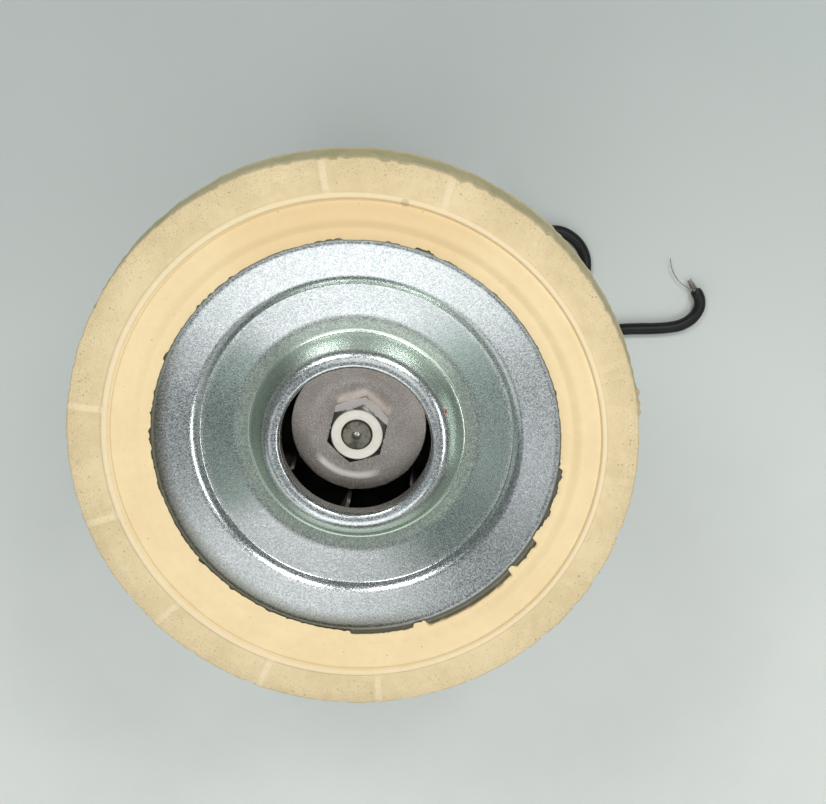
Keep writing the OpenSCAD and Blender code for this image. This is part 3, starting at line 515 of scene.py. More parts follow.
def dished_washer():
    """The clamp washer: its outline has a bore, a seat, a dish that rises with half a cosine, a flat rim and
    rounded edges, turned about Z."""
    low, seat = WASHER_Z
    top = seat + WASHER_DISH
    first, last = WASHER_DISH_R
    s = steps(14)[0]
    t = steps(6)[0]
    near_rim = np.array([0.0, 0.5, 0.9, 0.985])
    q = t * math.pi / 2
    edge = WASHER_EDGE
    rim = WASHER_R - edge
    r = np.concatenate([WASHER_BORE_R + (first - WASHER_BORE_R) * t, first + (last - first) * s,
                        last + (rim - last) * near_rim, rim + edge * np.sin(q), rim + edge * np.cos(q),
                        np.linspace(rim, WASHER_BORE_R, 8)])
    z = np.concatenate([np.full(6, seat), seat + WASHER_DISH * (1 - np.cos(math.pi * s)) / 2, np.full(4, top),
                        top - edge + edge * np.cos(q), low + edge - edge * np.sin(q), np.full(8, low)])
    return piece("dished_washer", ring_patch(turned(r, z, WASHER_STEPS)), sharp=50)


def hex_nut():
    """The fan nut: at each angle its side lies at half the flats over the cosine to the nearest flat, cut by a cone
    at either end, and its faces run in to the bore. The upper cone is marked as chamfer."""
    turn = angles(NUT_STEPS)
    off = (np.degrees(turn) - NUT_TURN + 30) % 60 - 30
    side = NUT_FLATS / 2 / np.cos(np.radians(off))
    low, high = NUT_Z
    z = np.concatenate([np.linspace(low, low + 0.7, 6), np.linspace(low + 0.9, high - 1.4, 6),
                        np.linspace(high - 1.2, high, 11)])[None, :]
    cone = NUT_FLATS / 2 - CONE_CUT + CONE_SLOPE * np.minimum(z - low + CONE_LOW, high - z)
    wall = np.minimum(side, cone)
    crown = np.linspace(0.12, 1, 7)[None, :]
    r = np.hstack([wall, wall[:, -1:] + (NUT_BORE_R - wall[:, -1:]) * crown, NUT_BORE_R + 0 * side,
                   wall[:, :1] + (NUT_BORE_R - wall[:, :1]) * crown[:, ::-1]])
    levels = np.hstack([z, high + 0.06 * np.sin(math.pi * crown), [[low + 0.01]], low + 0 * crown])
    chamfer = np.zeros(r.shape)
    chamfer[:, :z.size] = (cone < side) & (z > low + 2)
    return piece("hex_nut", ring_patch(points_at(r, turn, levels)), marks={"chamfer": chamfer}, sharp=25)


washer = dished_washer()
nut = hex_nut()


# Windings, springs, sleeves and jumpers

def wound_coil(name, way):
    """One field coil as a single wire: each turn is a rounded rectangle about the pole, the turns step along Y,
    and each layer starts where the last one ended, one wire further out, and runs back."""
    per_turn = 32
    count = COIL_TURNS * per_turn
    f = np.arange(COIL_LAYERS * count) / per_turn
    layer = np.floor(f / COIL_TURNS)
    run = f - layer * COIL_TURNS
    share = np.where(layer % 2 == 0, run, COIL_TURNS - run) / COIL_TURNS
    q = (f + 0.5 / per_turn) * TURN
    out = COIL_WIRE_D * (layer + 0.5)
    corner = 0.8 + 0.5 * out
    wander = 0.05 * np.sin(5.3 * f) + 0.04 * np.sin(11.7 * f + 1)
    x = np.sign(np.cos(q)) * (COIL_IN_X + out - corner) + corner * np.cos(q)
    z = np.sign(np.sin(q)) * (COIL_IN_Z + out - corner) + corner * np.sin(q)
    y = COIL_Y[0] + COIL_WIRE_D / 2 + (COIL_Y[1] - COIL_Y[0] - COIL_WIRE_D) * share + wander
    path = np.stack([way * x, way * y, COIL_MID_Z + z], axis=1)
    return piece(name, patch(tube(path, COIL_WIRE_D / 2, 7, (0, 1, 0))))


def armature_wires():
    """The armature's winding: straight wires side by side in each slot, and over each end twelve bundles that sweep
    from one slot to the fifth next, over a dome that fills the middle. A bundle's radius dips and its height rises
    with the sine of the way, each bundle lies a little over the last one, and fine tails drop to the commutator."""
    row = np.linspace(SLOT_R[0] + 0.4, SLOT_R[1] - 0.4, 7)
    col = np.linspace(-1.2, 1.2, 4)
    slot, r, c = (a.reshape(-1, 1) for a in np.meshgrid(np.arange(SLOT_COUNT), row, col, indexing="ij"))
    q = slot * TURN / SLOT_COUNT
    z = np.linspace(CORE_Z[0] - 1, CORE_Z[1] + 1, 3)[None, :]
    x = r * np.cos(q) - c * np.sin(q)
    y = r * np.sin(q) + c * np.cos(q)
    bars = np.stack(np.broadcast_arrays(x, y, z), axis=-1)
    slots = patch(tube(bars, ARMATURE_WIRE_D / 2, 6, (1, 0, 0)))

    wires = 9
    b, w = (a.reshape(-1, 1) for a in np.meshgrid(np.arange(SLOT_COUNT), np.arange(wires), indexing="ij"))
    t = np.linspace(0, 1, 37)[None, :]
    s = np.sin(math.pi * t)
    lane = (w % 3 - 1) * 0.75
    deck = w // 3
    over = b / (SLOT_COUNT - 1)
    q = TURN * (b + SLOTS_SPANNED * t) / SLOT_COUNT + lane / 15 * (1 - 2 * t)
    r = 15.2 - 0.7 * deck - (7.4 - 2.6 * over - 0.4 * deck) * s**0.8 + lane * 0.5 * s
    high = 0.4 + (END_TURN_H - 3.4 + 2.3 * over) * s**0.6 - 0.75 * deck * s
    fill = np.linspace(0, 1, 15)
    dome_r = np.concatenate([6.2 + 9.6 * (1 - fill**3), [6.0]])
    dome_z = np.concatenate([(END_TURN_H - 3.0) * fill**0.7, [0.0]])
    ends = []
    domes = []
    for level, way in ((CORE_Z[1], 1), (CORE_Z[0], -1)):
        line = points_at(r, way * q, level + way * (high - 0.8 * (1 - s)))
        ends.append(patch(tube(line, ARMATURE_WIRE_D / 2, 7, (0.05, 0.03, 1))))
        domes.append(ring_patch(turned(dome_r, level + way * dome_z, 72)))

    k = np.arange(BAR_COUNT)[:, None]
    t = np.linspace(0, 1, 12)[None, :]
    q = TURN * (k + 0.5 + 0.55 * t) / BAR_COUNT
    r = COMM_RISER_R - 0.5 + 1.9 * np.sin(math.pi / 2 * t)
    z = COMM_TOP_Z - 0.1 + (CORE_Z[0] - COMM_TOP_Z - 4) * t**1.4
    tails = patch(tube(points_at(r, q, z), 0.32, 6, (0.9, 0.4, 0.1)))
    return piece("armature_wires", slots, *ends, *domes, tails)


def brush_spring(name, way):
    """A helix of round wire between the brush and its cap, with a flat closed curl at each end."""
    t = np.linspace(0, 1, SPRING_CURLS * 24)
    q = TURN * SPRING_CURLS * t
    ease = 0.72 * np.sin(TURN * t) / TURN
    reach = SPRING_X[1] - SPRING_X[0] - SPRING_WIRE_D - 0.1
    x = SPRING_X[0] + SPRING_WIRE_D / 2 + 0.05 + reach * np.clip(t - ease, 0, 1)
    path = np.stack([way * x, SPRING_R * np.cos(q), BRUSH_Z + SPRING_R * np.sin(q)], axis=1)
    return piece(name, patch(tube(path, SPRING_WIRE_D / 2, 10, (1, 0, 0))))


def braided_jumper(name, way):
    """Sleeved wire from a field coil to a brush cap: a tube along its route, with soldered ends drawn in."""
    path = flow(JUMPER_ROUTE, 10) * (way, way, 1)
    s = np.linspace(0, 1, len(path))
    radius = JUMPER_D / 2 * (0.55 + 0.45 * smooth(0, 0.03, s) * (1 - smooth(0.95, 0.99, s)))
    return piece(name, patch(tube(path, radius, 18, (0.3, 1, 0.2))))


def lead_sleeves():
    """Braided sleeves over the leads' first stretch: a ring's outline with frayed, rounded ends turned about the
    lead's straight start, which runs along X."""
    x0, y0, z0 = LEAD_A_ROUTE[0]
    inner = LEAD_D / 2 + 0.2
    outer = SLEEVE_D / 2
    mid = (inner + outer) / 2
    first, last = SLEEVE_END, SLEEVE_L - SLEEVE_END
    s = steps(12)[0]
    t = steps(6)[0] * math.pi
    r = np.concatenate([outer + 0.04 * np.sin(40 * s), mid + (outer - mid) * np.cos(t), np.full(6, inner),
                        mid - (outer - mid) * np.cos(t)])
    x = np.concatenate([first + (last - first) * s, last + SLEEVE_END * np.sin(t),
                        last - (last - first) * steps(6)[0], first - SLEEVE_END * np.sin(t)])
    ring = turned(r, x, 48)[..., [2, 0, 1]]
    return piece("braided_sleeves", *(ring_patch(ring + (x0, side * y0, z0)) for side in (1, -1)))


coil_far = wound_coil("wound_coil_far", 1)
coil_near = wound_coil("wound_coil_near", -1)
armature = armature_wires()
spring_right = brush_spring("coil_spring_right", 1)
spring_left = brush_spring("coil_spring_left", -1)
jumper_right = braided_jumper("braided_jumper_right", 1)
jumper_left = braided_jumper("braided_jumper_left", -1)
sleeves = lead_sleeves()

# What each piece is fixed to, the node that it stands for, and its material's slot.
for obj, body, node, slot in (
    (gasket, "housing", "front_gasket", "cream_rubber"),
    (cover, "housing", "fan_cover", "zinc_steel"),
    (washer, "rotor", "fan_washer", "washer_steel"),
    (nut, "rotor", "fan_nut", "plated_steel"),
    (coil_far, "housing", "field_coil_far", "enamelled_copper"),
    (coil_near, "housing", "field_coil_near", "enamelled_copper"),
    (armature, "rotor", "armature_winding", "enamelled_copper"),
    (spring_right, "housing", "brush_spring_right", "spring_steel"),
    (spring_left, "housing", "brush_spring_left", "spring_steel"),
    (jumper_right, "housing", "jumper_right", "glass_sleeving"),
    (jumper_left, "housing", "jumper_left", "glass_sleeving"),
    (sleeves, "housing", "lead_sleeves", "glass_sleeving"),
):
    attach(obj, body)
    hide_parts(node)


# Shader helpers

class Signal:
    """A number, a place or a colour on its way through a shader's tree. What is done to it adds nodes there."""

    def __init__(self, tree, socket):
        self.tree = tree
        self.socket = socket

    def beside(self, output):
        """Another output of the node that this one leaves."""
        return Signal(self.tree, self.socket.node.outputs[output])

    def calc(self, operation, other=0.0):
        """One sum on this number and another."""
        return put(self.tree, "ShaderNodeMath", {0: self, 1: other}, operation=operation)

    def __add__(self, other):
        return self.calc("ADD", other)

    def __sub__(self, other):
        return self.calc("SUBTRACT", other)

    def __mul__(self, other):
        return self.calc("MULTIPLY", other)

    def most(self, other):
        """The larger of two numbers."""
        return self.calc("MAXIMUM", other)

    def inverse(self):
        """1 less this number."""
        return put(self.tree, "ShaderNodeMath", {0: 1.0, 1: self}, operation="SUBTRACT")

    def span(self, low, high, to_low=0.0, to_high=1.0):
        """This number stretched from low to high onto a new range, eased at both ends and held there."""
        values = {"Value": self, "From Min": low, "From Max": high, "To Min": to_low, "To Max": to_high}
        return put(self.tree, "ShaderNodeMapRange", values, "Result", interpolation_type="SMOOTHSTEP", clamp=True)

    def band(self, start, full, fade, end):
        """0 up to start, 1 from full to fade and 0 again from end on, eased between them."""
        return self.span(start, full) * self.span(fade, end, 1.0, 0.0)

    def share(self, to_low, to_high):
        """A mask from 0 to 1 laid onto a new range."""
        return self.span(0.0, 1.0, to_low, to_high)

    def spread(self, to_low=0.0, to_high=1.0):
        """The middle of a noise, where most of it lies, laid onto a new range."""
        return self.span(0.3, 0.7, to_low, to_high)

    def tint(self, a, b):
        """Colour a where this number is 0 and colour b where it is 1."""
        a, b = (c if isinstance(c, Signal) else (*c, 1.0) for c in (a, b))
        return put(self.tree, "ShaderNodeMix", {0: self, 6: a, 7: b}, 2, data_type="RGBA")

    def noise(self, scale, detail=3.0, rough=0.6, warp=0.0):
        """Plain noise from 0 to 1 at a number of waves per unit of this place."""
        values = {"Vector": self, "Scale": scale, "Detail": detail, "Roughness": rough, "Distortion": warp}
        return put(self.tree, "ShaderNodeTexNoise", values, "Fac")

    def cells(self, scale):
        """Random cells over this place: two draws of each cell, and the distance from its middle."""
        values = {"Vector": self, "Scale": scale, "Randomness": 1.0}
        colour = put(self.tree, "ShaderNodeTexVoronoi", values, "Color")
        draw = put(self.tree, "ShaderNodeSeparateColor", {0: colour})
        return draw, draw.beside(1), colour.beside("Distance")

    def use(self, group, *values):
        """An effect on this place with its own values, and the first thing that it gives."""
        return put(self.tree, "ShaderNodeGroup", dict(enumerate((self, *values))), node_tree=group)

    def vector(self, operation, other=(0.0, 0.0, 0.0), output="Vector"):
        """One sum on this place and another."""
        return put(self.tree, "ShaderNodeVectorMath", {0: self, 1: other}, output, operation=operation)

    def part(self, axis):
        """This place along one axis."""
        return put(self.tree, "ShaderNodeSeparateXYZ", {0: self}, axis)

    def height(self):
        """Height of this place above the base, in millimetres."""
        return self.part("Z") * (1 / MM)

    def from_axis(self):
        """Distance of this place from the shaft's axis, in millimetres."""
        return self.vector("MULTIPLY", (1.0, 1.0, 0.0)).vector("LENGTH", output="Value") * (1 / MM)

    def near(self, spot, radius):
        """1 about a spot, falling to 0 at the radius, both in millimetres."""
        far = self.vector("DISTANCE", tuple(v * MM for v in spot), "Value")
        return far.span(radius * 0.6 * MM, radius * MM, 1.0, 0.0)


def feed(tree, node, values):
    """Sets a node's inputs: a signal is linked, and a plain value is written in."""
    for key, value in values.items():
        if isinstance(value, Signal):
            tree.links.new(value.socket, node.inputs[key])
        else:
            node.inputs[key].default_value = value


def put(tree, kind, values=None, output=0, **settings):
    """Adds a node and gives what leaves it: settings are its plain properties, and values go to its inputs."""
    node = tree.nodes.new(kind)
    for key, value in settings.items():
        setattr(node, key, value)
    feed(tree, node, values or {})
    return Signal(tree, node.outputs[output])


def effect(name, takes, gives, build):
    """A shader node group: takes names its inputs, a place and then numbers, gives names what it gives, and build
    joins them inside."""
    group = bpy.data.node_groups.new(name, "ShaderNodeTree")
    for order, label in enumerate(takes):
        kind = "NodeSocketFloat" if order else "NodeSocketVector"
        group.interface.new_socket(label, in_out="INPUT", socket_type=kind)
    for label in gives:
        group.interface.new_socket(label, in_out="OUTPUT", socket_type="NodeSocketFloat")
    start = group.nodes.new("NodeGroupInput")
    end = group.nodes.new("NodeGroupOutput")
    results = build(*(Signal(group, start.outputs[label]) for label in takes))
    feed(group, end, dict(zip(gives, results)))
    return group


def mottled_inside(place, scale):
    """Cloudy tone: broad noise with a share of finer noise, stretched to fill 0 to 1."""
    broad = place.noise(scale, 4.0, 0.55, 0.4)
    fine = place.noise(scale * 6.3)
    return [(broad * 0.68 + fine * 0.32).span(0.33, 0.67)]


def specked_inside(place, scale, amount):
    """Specks: a dot in the middle of some cells; the amount is the share of cells that have one."""
    chance, size, away = place.cells(scale)
    inside = size * 0.22 + 0.10 - away
    return [inside.span(-0.02, 0.08) * chance.calc("LESS_THAN", amount)]


def spangled_inside(place, scale):
    """Zinc spangle: crystals of a random tone each, broken by fine noise."""
    tone = place.cells(scale)[0]
    fine = place.noise(scale * 0.8, 3.0, 0.65)
    return [tone * 0.45 + fine.spread() * 0.55, fine]


def ringed_inside(place, scale):
    """Tool marks round the shaft's axis: noise read along the radius and the height alone."""
    line = put(place.tree, "ShaderNodeCombineXYZ", {0: place.from_axis(), 1: place.height() * 0.6})
    return [line.noise(scale * MM, 2.0, 0.7).spread()]


def braided_inside(lay, along, around):
    """Braid over a tube's own map: two sets of threads that cross, over and under by turns."""
    along = lay.part("X") * along
    around = lay.part("Y") * around
    one = ((along + around) * TURN).calc("SINE")
    two = ((along - around) * TURN).calc("SINE")
    return [(one * two).span(-1.0, 1.0)]


MOTTLE = effect("mottle", ["Place", "Scale"], ["Tone"], mottled_inside)
SPECKS = effect("specks", ["Place", "Scale", "Amount"], ["Mask"], specked_inside)
SPANGLE = effect("spangle", ["Place", "Scale"], ["Tone", "Grain"], spangled_inside)
RINGS = effect("tool_rings", ["Place", "Scale"], ["Marks"], ringed_inside)
BRAID = effect("braid", ["Lay", "Along", "Round"], ["Threads"], braided_inside)


def new_finish(name, metallic, roughness):
    """An empty finish, and the surface's own place in it."""
    material = bpy.data.materials.new(name)
    material.use_nodes = True
    tree = material.node_tree
    feed(tree, tree.nodes["Principled BSDF"], {"Metallic": metallic, "Roughness": roughness})
    return material, put(tree, "ShaderNodeTexCoord", output="Object")


def mark_of(place, name):
    """What a piece's mark says at this place."""
    return put(place.tree, "ShaderNodeAttribute", output="Fac", attribute_name=name)


def layered(base, *layers):
    """A colour with others laid over it in turn, each as far as its mask says."""
    for mask, colour in layers:
        base = mask.tint(base, colour)
    return base


def lay_of(place):
    """A piece's own map at this place."""
    return put(place.tree, "ShaderNodeUVMap", uv_map="lay")


def paint(material, colour, roughness, height, strength, distance, others=None):
    """Joins a finish's colour, roughness, bump height and other inputs to its shader, and gives the finish back; the
    bump's distance is in millimetres."""
    tree = material.node_tree
    bump = put(tree, "ShaderNodeBump", {"Height": height, "Strength": strength, "Distance": distance * MM})
    inputs = {"Base Color": colour, "Roughness": roughness, "Normal": bump, **(others or {})}
    feed(tree, tree.nodes["Principled BSDF"], inputs)
    return material


# Finishes: radii and heights in them are in millimetres, waves are per metre.

def gasket_rubber():
    """Aged cream rubber: smooth and peach inside the ridge, painted darker and warmer at the back as painted shade,
    greyer and peppered with dirt outside it, with painted shade along the groove inside the ridge, cleaner on what is
    raised, olive in patches on the rim's side, most of all along one half of it, where the olive is also painted
    shade, and a pale painted highlight along the rim's outer edge."""
    material, place = new_finish("gasket_rubber", 0.0, 0.55)
    r = place.from_axis()
    z = place.height()
    far = r.span(55.5, 64.5)
    cloud = place.use(MOTTLE, 70.0)
    raised = mark_of(place, "raised")
    inner_tone = cloud.tint((0.84, 0.625, 0.325), (0.91, 0.71, 0.395))
    outer_tone = cloud.tint((0.70, 0.555, 0.32), (0.81, 0.655, 0.40))
    # Painted shade: the inner face is painted darker and warmer towards the back.
    warm = place.near((0.0, 51.0, 142.0), 34.0) * 0.6
    inner_tone = warm.tint(inner_tone, (0.74, 0.48, 0.19))
    pepper = place.noise(3400.0, 2.0, 0.7).span(0.50, 0.72)
    # Painted shade: a dark line along the groove on the ridge's inner side.
    crease_shade = r.band(55.08, 55.30, 55.34, 55.60)
    edge = r.span(61.2, 64.6) * pepper.share(0.25, 0.6)
    patchy = place.noise(190.0).span(0.38, 0.62)
    few = (far * 1.2 + 0.06) * (patchy * 0.8 + 0.3)
    small = place.use(SPECKS, 2500.0, few) * 0.55
    large = place.use(SPECKS, 1250.0, few * 0.25) * 0.5
    clean = (raised * 0.5).inverse()
    side = z.band(134.4, 135.2, 140.0, 142.2)
    # The olive on the rim's side is strongest on its back half, where it is also painted shade.
    olive = place.near((15.0, 55.0, 138.0), 90.0).share(0.2, 0.75) * patchy.share(0.65, 1.0)
    spot = place.near((7.0, -52.1, 142.6), 0.5)
    # Painted highlight: a pale line along the rim's outer edge.
    rim_edge_highlight = place.vector("ADD", (-RIM_SHIFT * MM, 0.0, 0.0)).from_axis().span(64.6, 65.0, 0.0, 0.55)
    smudge = place.near((11.4, 54.7, 143.5), 1.2) * 0.3
    base = layered(
        r.span(55.5, 57.5).tint(inner_tone, outer_tone),
        (raised * 0.75, (0.90, 0.75, 0.50)),
        (pepper * far * 0.42, (0.42, 0.33, 0.18)),
        (crease_shade * 0.4, (0.40, 0.27, 0.12)),
        (edge * 0.55, (0.46, 0.38, 0.22)),
        (small.most(large) * clean, (0.20, 0.155, 0.085)),
        (side * olive, (0.40, 0.385, 0.19)),
        (spot, (0.02, 0.018, 0.015)),
        (rim_edge_highlight * z.span(138.0, 141.0), (0.92, 0.83, 0.63)),
        (smudge, (0.22, 0.15, 0.08)),
    )
    grain = place.noise(2600.0)
    return paint(material, base, cloud.share(0.62, 0.48), grain, 0.35, 0.06, {"Specular IOR Level": 0.35})


def zinc_plate():
    """Bright zinc plate with a fine spangle and patches of sparks, duller in the valley and greener there with a
    painted reflection that is pale at the back of it, painted shade on two sides of the dish and inside the inlet's
    bore, painted shade with some dirt in dark olive-brown along one side of the gasket's lip, olive with dirt where
    it runs under it with a painted shadow line along the lip's edge, and one dot of red paint."""
    material, place = new_finish("zinc_plate", 1.0, 0.3)
    r = place.from_axis()
    z = place.height()
    spangle = place.use(SPANGLE, 3200.0)
    cloud = place.use(MOTTLE, 55.0)
    rubbed = place.noise(110.0).span(0.50, 0.66, 0.06, 0.6)
    sparks = place.use(SPECKS, 1500.0, rubbed)
    valley = r.band(20.5, 22.5, 26.5, 29.0)
    # Painted reflection: a green sheen in the valley, pale towards the back, laid over the zinc.
    sheen = place.near((4.0, 25.0, 138.0), 24.0).tint((0.38, 0.46, 0.37), (0.84, 0.96, 0.82))
    # Painted shade: the dish is painted darker and greener on two sides.
    dish = r.band(27.0, 29.0, 34.5, 36.0)
    sides = place.near((29.0, -4.0, 136.5), 38.0).most(place.near((-31.0, 2.0, 136.5), 26.0))
    # Painted shade: the inside of the inlet's bore wall is painted dark.
    bore = r.span(17.3, 17.7, 1.0, 0.0) * z.span(140.8, 141.4, 1.0, 0.0)
    under = z.span(122.0, 136.0)
    dirt = r.span(45.6, 46.5, 0.0, 0.85) * under
    # Painted shadow: a near-black line on the cover under the gasket lip's edge.
    line = r.span(46.0, 46.6) * under * r.span(46.6, 47.1, 1.0, 0.35)
    # Painted shade with some dirt: dark olive-brown on the shoulder along the lower left of the lip.
    shade = r.span(42.0, 46.2) * place.near((-34.0, -30.0, 141.0), 60.0)
    red = place.near((20.7, 7.35, 140.8), 0.75)
    base = layered(
        spangle.tint((0.26, 0.292, 0.30), (0.82, 0.848, 0.855)),
        (cloud * 0.35, (0.42, 0.47, 0.45)),
        (sparks * 0.6, (0.93, 0.95, 0.96)),
        (valley * 0.75, sheen),
        (dish * sides * 0.65, (0.20, 0.28, 0.235)),
        (bore, (0.10, 0.105, 0.10)),
        (shade * 0.9, (0.12, 0.11, 0.06)),
        (dirt, (0.24, 0.24, 0.19)),
        (line * 0.8, (0.045, 0.042, 0.025)),
        (red, (0.42, 0.02, 0.02)),
    )
    dull = red.most(dirt * 0.8).most(valley * 0.22)
    rough = spangle.beside("Grain").spread(0.16, 0.30) + dirt * 0.3
    height = spangle * valley.share(1.0, 0.35)
    return paint(material, base, rough, height, 0.3, 0.03, {"Metallic": dull.inverse()})


def washer_satin():
    """Satin warm steel: fine rings from the lathe, a soft bloom, and a painted highlight: a bright crescent on one
    side.
    """
    material, place = new_finish("washer_satin", 1.0, 0.3)
    marks = place.use(RINGS, 5200.0)
    cloud = place.use(MOTTLE, 160.0)
    grain = place.noise(3800.0)
    # Painted highlight: a bright crescent on one side of the washer, also rougher there.
    arc = place.from_axis().band(11.1, 12.2, 12.5, 13.4) * place.near((-3.4, -11.9, 128.9), 9.0)
    base = layered(
        cloud.tint((0.59, 0.515, 0.465), (0.73, 0.655, 0.60)),
        (marks * 0.25, (0.77, 0.70, 0.645)),
        (arc, (1.0, 0.95, 0.90)),
    )
    rough = grain.spread(0.18, 0.28) + arc * 0.42
    return paint(material, base, rough, grain, 0.2, 0.03)


def plated_nut():
    """Bright plated steel with faint machining, painted whiter on the six flats as painted light, and chamfers
    painted dark and fully metallic as painted shade.
    """
    material, place = new_finish("plated_nut", 0.2, 0.4)
    marks = place.use(RINGS, 4200.0)
    cloud = place.use(MOTTLE, 220.0)
    # Painted shade: the chamfers are painted dark and fully metallic.
    chamfer = mark_of(place, "chamfer")
    # Painted light: the six flats are painted whiter.
    flats = place.height().span(135.1, 135.5, 1.0, 0.0)
    base = layered(
        cloud.tint((0.70, 0.66, 0.58), (0.86, 0.82, 0.75)),
        (marks * 0.3, (0.54, 0.50, 0.43)),
        (flats, (1.0, 0.97, 0.96)),
        (chamfer, (0.22, 0.21, 0.19)),
    )
    rough = cloud.share(0.46, 0.36) - chamfer * 0.2
    return paint(material, base, rough, marks, 0.12, 0.03, {"Metallic": chamfer.most(0.2)})


def ground_shaft():
    """Ground steel with fine rings; the threaded end is dull and brown, with a painted shade ring round its edge."""
    material, place = new_finish("ground_shaft", 1.0, 0.25)
    marks = place.use(RINGS, 6000.0)
    cloud = place.use(MOTTLE, 400.0)
    end = place.height().span(135.2, 135.8)
    bright = marks.tint((0.62, 0.63, 0.64), (0.80, 0.81, 0.82))
    dull = cloud.tint((0.08, 0.075, 0.06), (0.28, 0.265, 0.225))
    # Painted shade: a dark ring round the edge of the shaft's end.
    rim = place.from_axis().span(3.0, 3.4) * end
    base = layered(end.tint(bright, dull), (rim * 0.7, (0.06, 0.05, 0.035)))
    return paint(material, base, end.share(0.24, 0.45), marks, 0.15, 0.03)


def metal_finish(name, dark, light, rough, cloud_scale, grain_scale, strength, rings=0.0):
    """A plain metal: a cloudy tone between two colours, with grain in its gloss and bump, and tool rings if any."""
    material, place = new_finish(name, 1.0, rough)
    cloud = place.use(MOTTLE, cloud_scale)
    grain = place.noise(grain_scale)
    base = cloud.tint(dark, light)
    height = grain
    if rings:
        marks = place.use(RINGS, 4500.0)
        base = (marks * rings).tint(base, tuple(0.7 * v for v in dark))
        height = grain + marks
    return paint(material, base, grain.spread(rough - 0.08, rough + 0.1), height, strength, 0.06)


def core_laminations():
    """Stacked sheets: dark varnished steel with a line at each sheet's edge, half a millimetre apart along Z."""
    material, place = new_finish("core_laminations", 0.85, 0.45)
    saw = (place.height() * 2.0).calc("FRACT")
    seam = (saw - 0.5).calc("ABSOLUTE").span(0.34, 0.48)
    sheet = place.vector("MULTIPLY", (60.0, 60.0, 2000.0)).noise(1.0, 2.0)
    cloud = place.use(MOTTLE, 130.0)
    base = layered(
        sheet.spread().tint((0.13, 0.13, 0.135), (0.34, 0.345, 0.35)),
        (cloud * 0.35, (0.16, 0.11, 0.07)),
        (seam * 0.7, (0.04, 0.035, 0.03)),
    )
    return paint(material, base, sheet.spread(0.36, 0.55), sheet - seam, 0.4, 0.08)


def magnet_wire():
    """Enamelled copper under brown varnish, darker in patches."""
    material, place = new_finish("magnet_wire", 0.75, 0.28)
    cloud = place.use(MOTTLE, 150.0)
    fine = place.noise(2200.0, 2.0, 0.5)
    base = cloud.tint((0.26, 0.085, 0.03), (0.56, 0.225, 0.08))
    base = (fine.span(0.45, 0.75) * 0.4).tint(base, (0.15, 0.055, 0.022))
    coat = {"Coat Weight": 0.4, "Coat Roughness": 0.15}
    return paint(material, base, cloud.share(0.36, 0.22), fine, 0.12, 0.04, coat)


def matt_finish(name, dark, light, rough, cloud_scale, grain_scale, strength, specks, speck_colour):
    """A plain unmetallic stuff: a cloudy tone between two colours, fine grain, and a share of specks."""
    material, place = new_finish(name, 0.0, rough)
    cloud = place.use(MOTTLE, cloud_scale)
    grain = place.noise(grain_scale)
    base = cloud.tint(dark, light)
    base = (place.use(SPECKS, 1300.0, specks) * 0.5).tint(base, speck_colour)
    return paint(material, base, grain.spread(rough - 0.1, rough + 0.1), grain, strength, 0.06)


def braid_sleeving(name, along, around):
    """Varnished braid: cream threads that cross over the tube's own map, amber in the gaps."""
    material, place = new_finish(name, 0.0, 0.5)
    threads = lay_of(place).use(BRAID, along, around)
    cloud = place.use(MOTTLE, 260.0)
    base = layered(threads.tint((0.30, 0.22, 0.11), (0.68, 0.62, 0.46)), (cloud * 0.35, (0.36, 0.24, 0.10)))
    return paint(material, base, threads.share(0.35, 0.6), threads, 0.6, 0.12)


def lead_insulation():
    """Soft black insulation: a dusty bloom, faint drawing lines along it and a low sheen."""
    material, place = new_finish("lead_insulation", 0.0, 0.42)
    lines = lay_of(place).vector("MULTIPLY", (6.0, 40.0, 1.0)).noise(1.0)
    cloud = place.use(MOTTLE, 120.0)
    dust = place.use(SPECKS, 1600.0, 0.12)
    base = layered(cloud.tint((0.005, 0.005, 0.0055), (0.012, 0.012, 0.0125)), (dust * 0.2, (0.10, 0.095, 0.085)))
    return paint(material, base, lines.spread(0.34, 0.5), lines, 0.12, 0.05, {"Specular IOR Level": 0.3})


def tinned_strand():
    """Copper strands, tinned in part."""
    material, place = new_finish("tinned_strand", 1.0, 0.3)
    cloud = place.use(MOTTLE, 420.0)
    grain = place.noise(3500.0, 2.0)
    base = cloud.tint((0.26, 0.20, 0.155), (0.62, 0.59, 0.55))
    return paint(material, base, grain.spread(0.24, 0.42), grain, 0.15, 0.04)


def commutator_copper():
    """Commutator copper: turned rings, and a dark brown track where the brushes run."""
    material, place = new_finish("commutator_copper", 1.0, 0.3)
    marks = place.use(RINGS, 5200.0)
    track = place.height().band(16.8, 18.0, 26.2, 27.4)
    base = layered(marks.tint((0.58, 0.27, 0.13), (0.80, 0.45, 0.27)), (track * 0.75, (0.17, 0.085, 0.05)))
    return paint(material, base, track.share(0.34, 0.2), marks, 0.15, 0.04)


def dress(material, *names):
    """Gives a finish to CAD nodes and to new pieces."""
    for name in names:
        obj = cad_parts.get(name) or bpy.data.objects[name]
        if not obj.material_slots:
            obj.data.materials.append(material)
        for held in obj.material_slots:
            held.material = material


# Plain finishes: the dark and the light tone, roughness, waves of cloud and of grain, bump, and rings or specks.
dress(gasket_rubber(), "gasket_ring")
dress(zinc_plate(), "cover_pressing")
dress(washer_satin(), "dished_washer")
dress(plated_nut(), "hex_nut")
dress(ground_shaft(), "shaft")
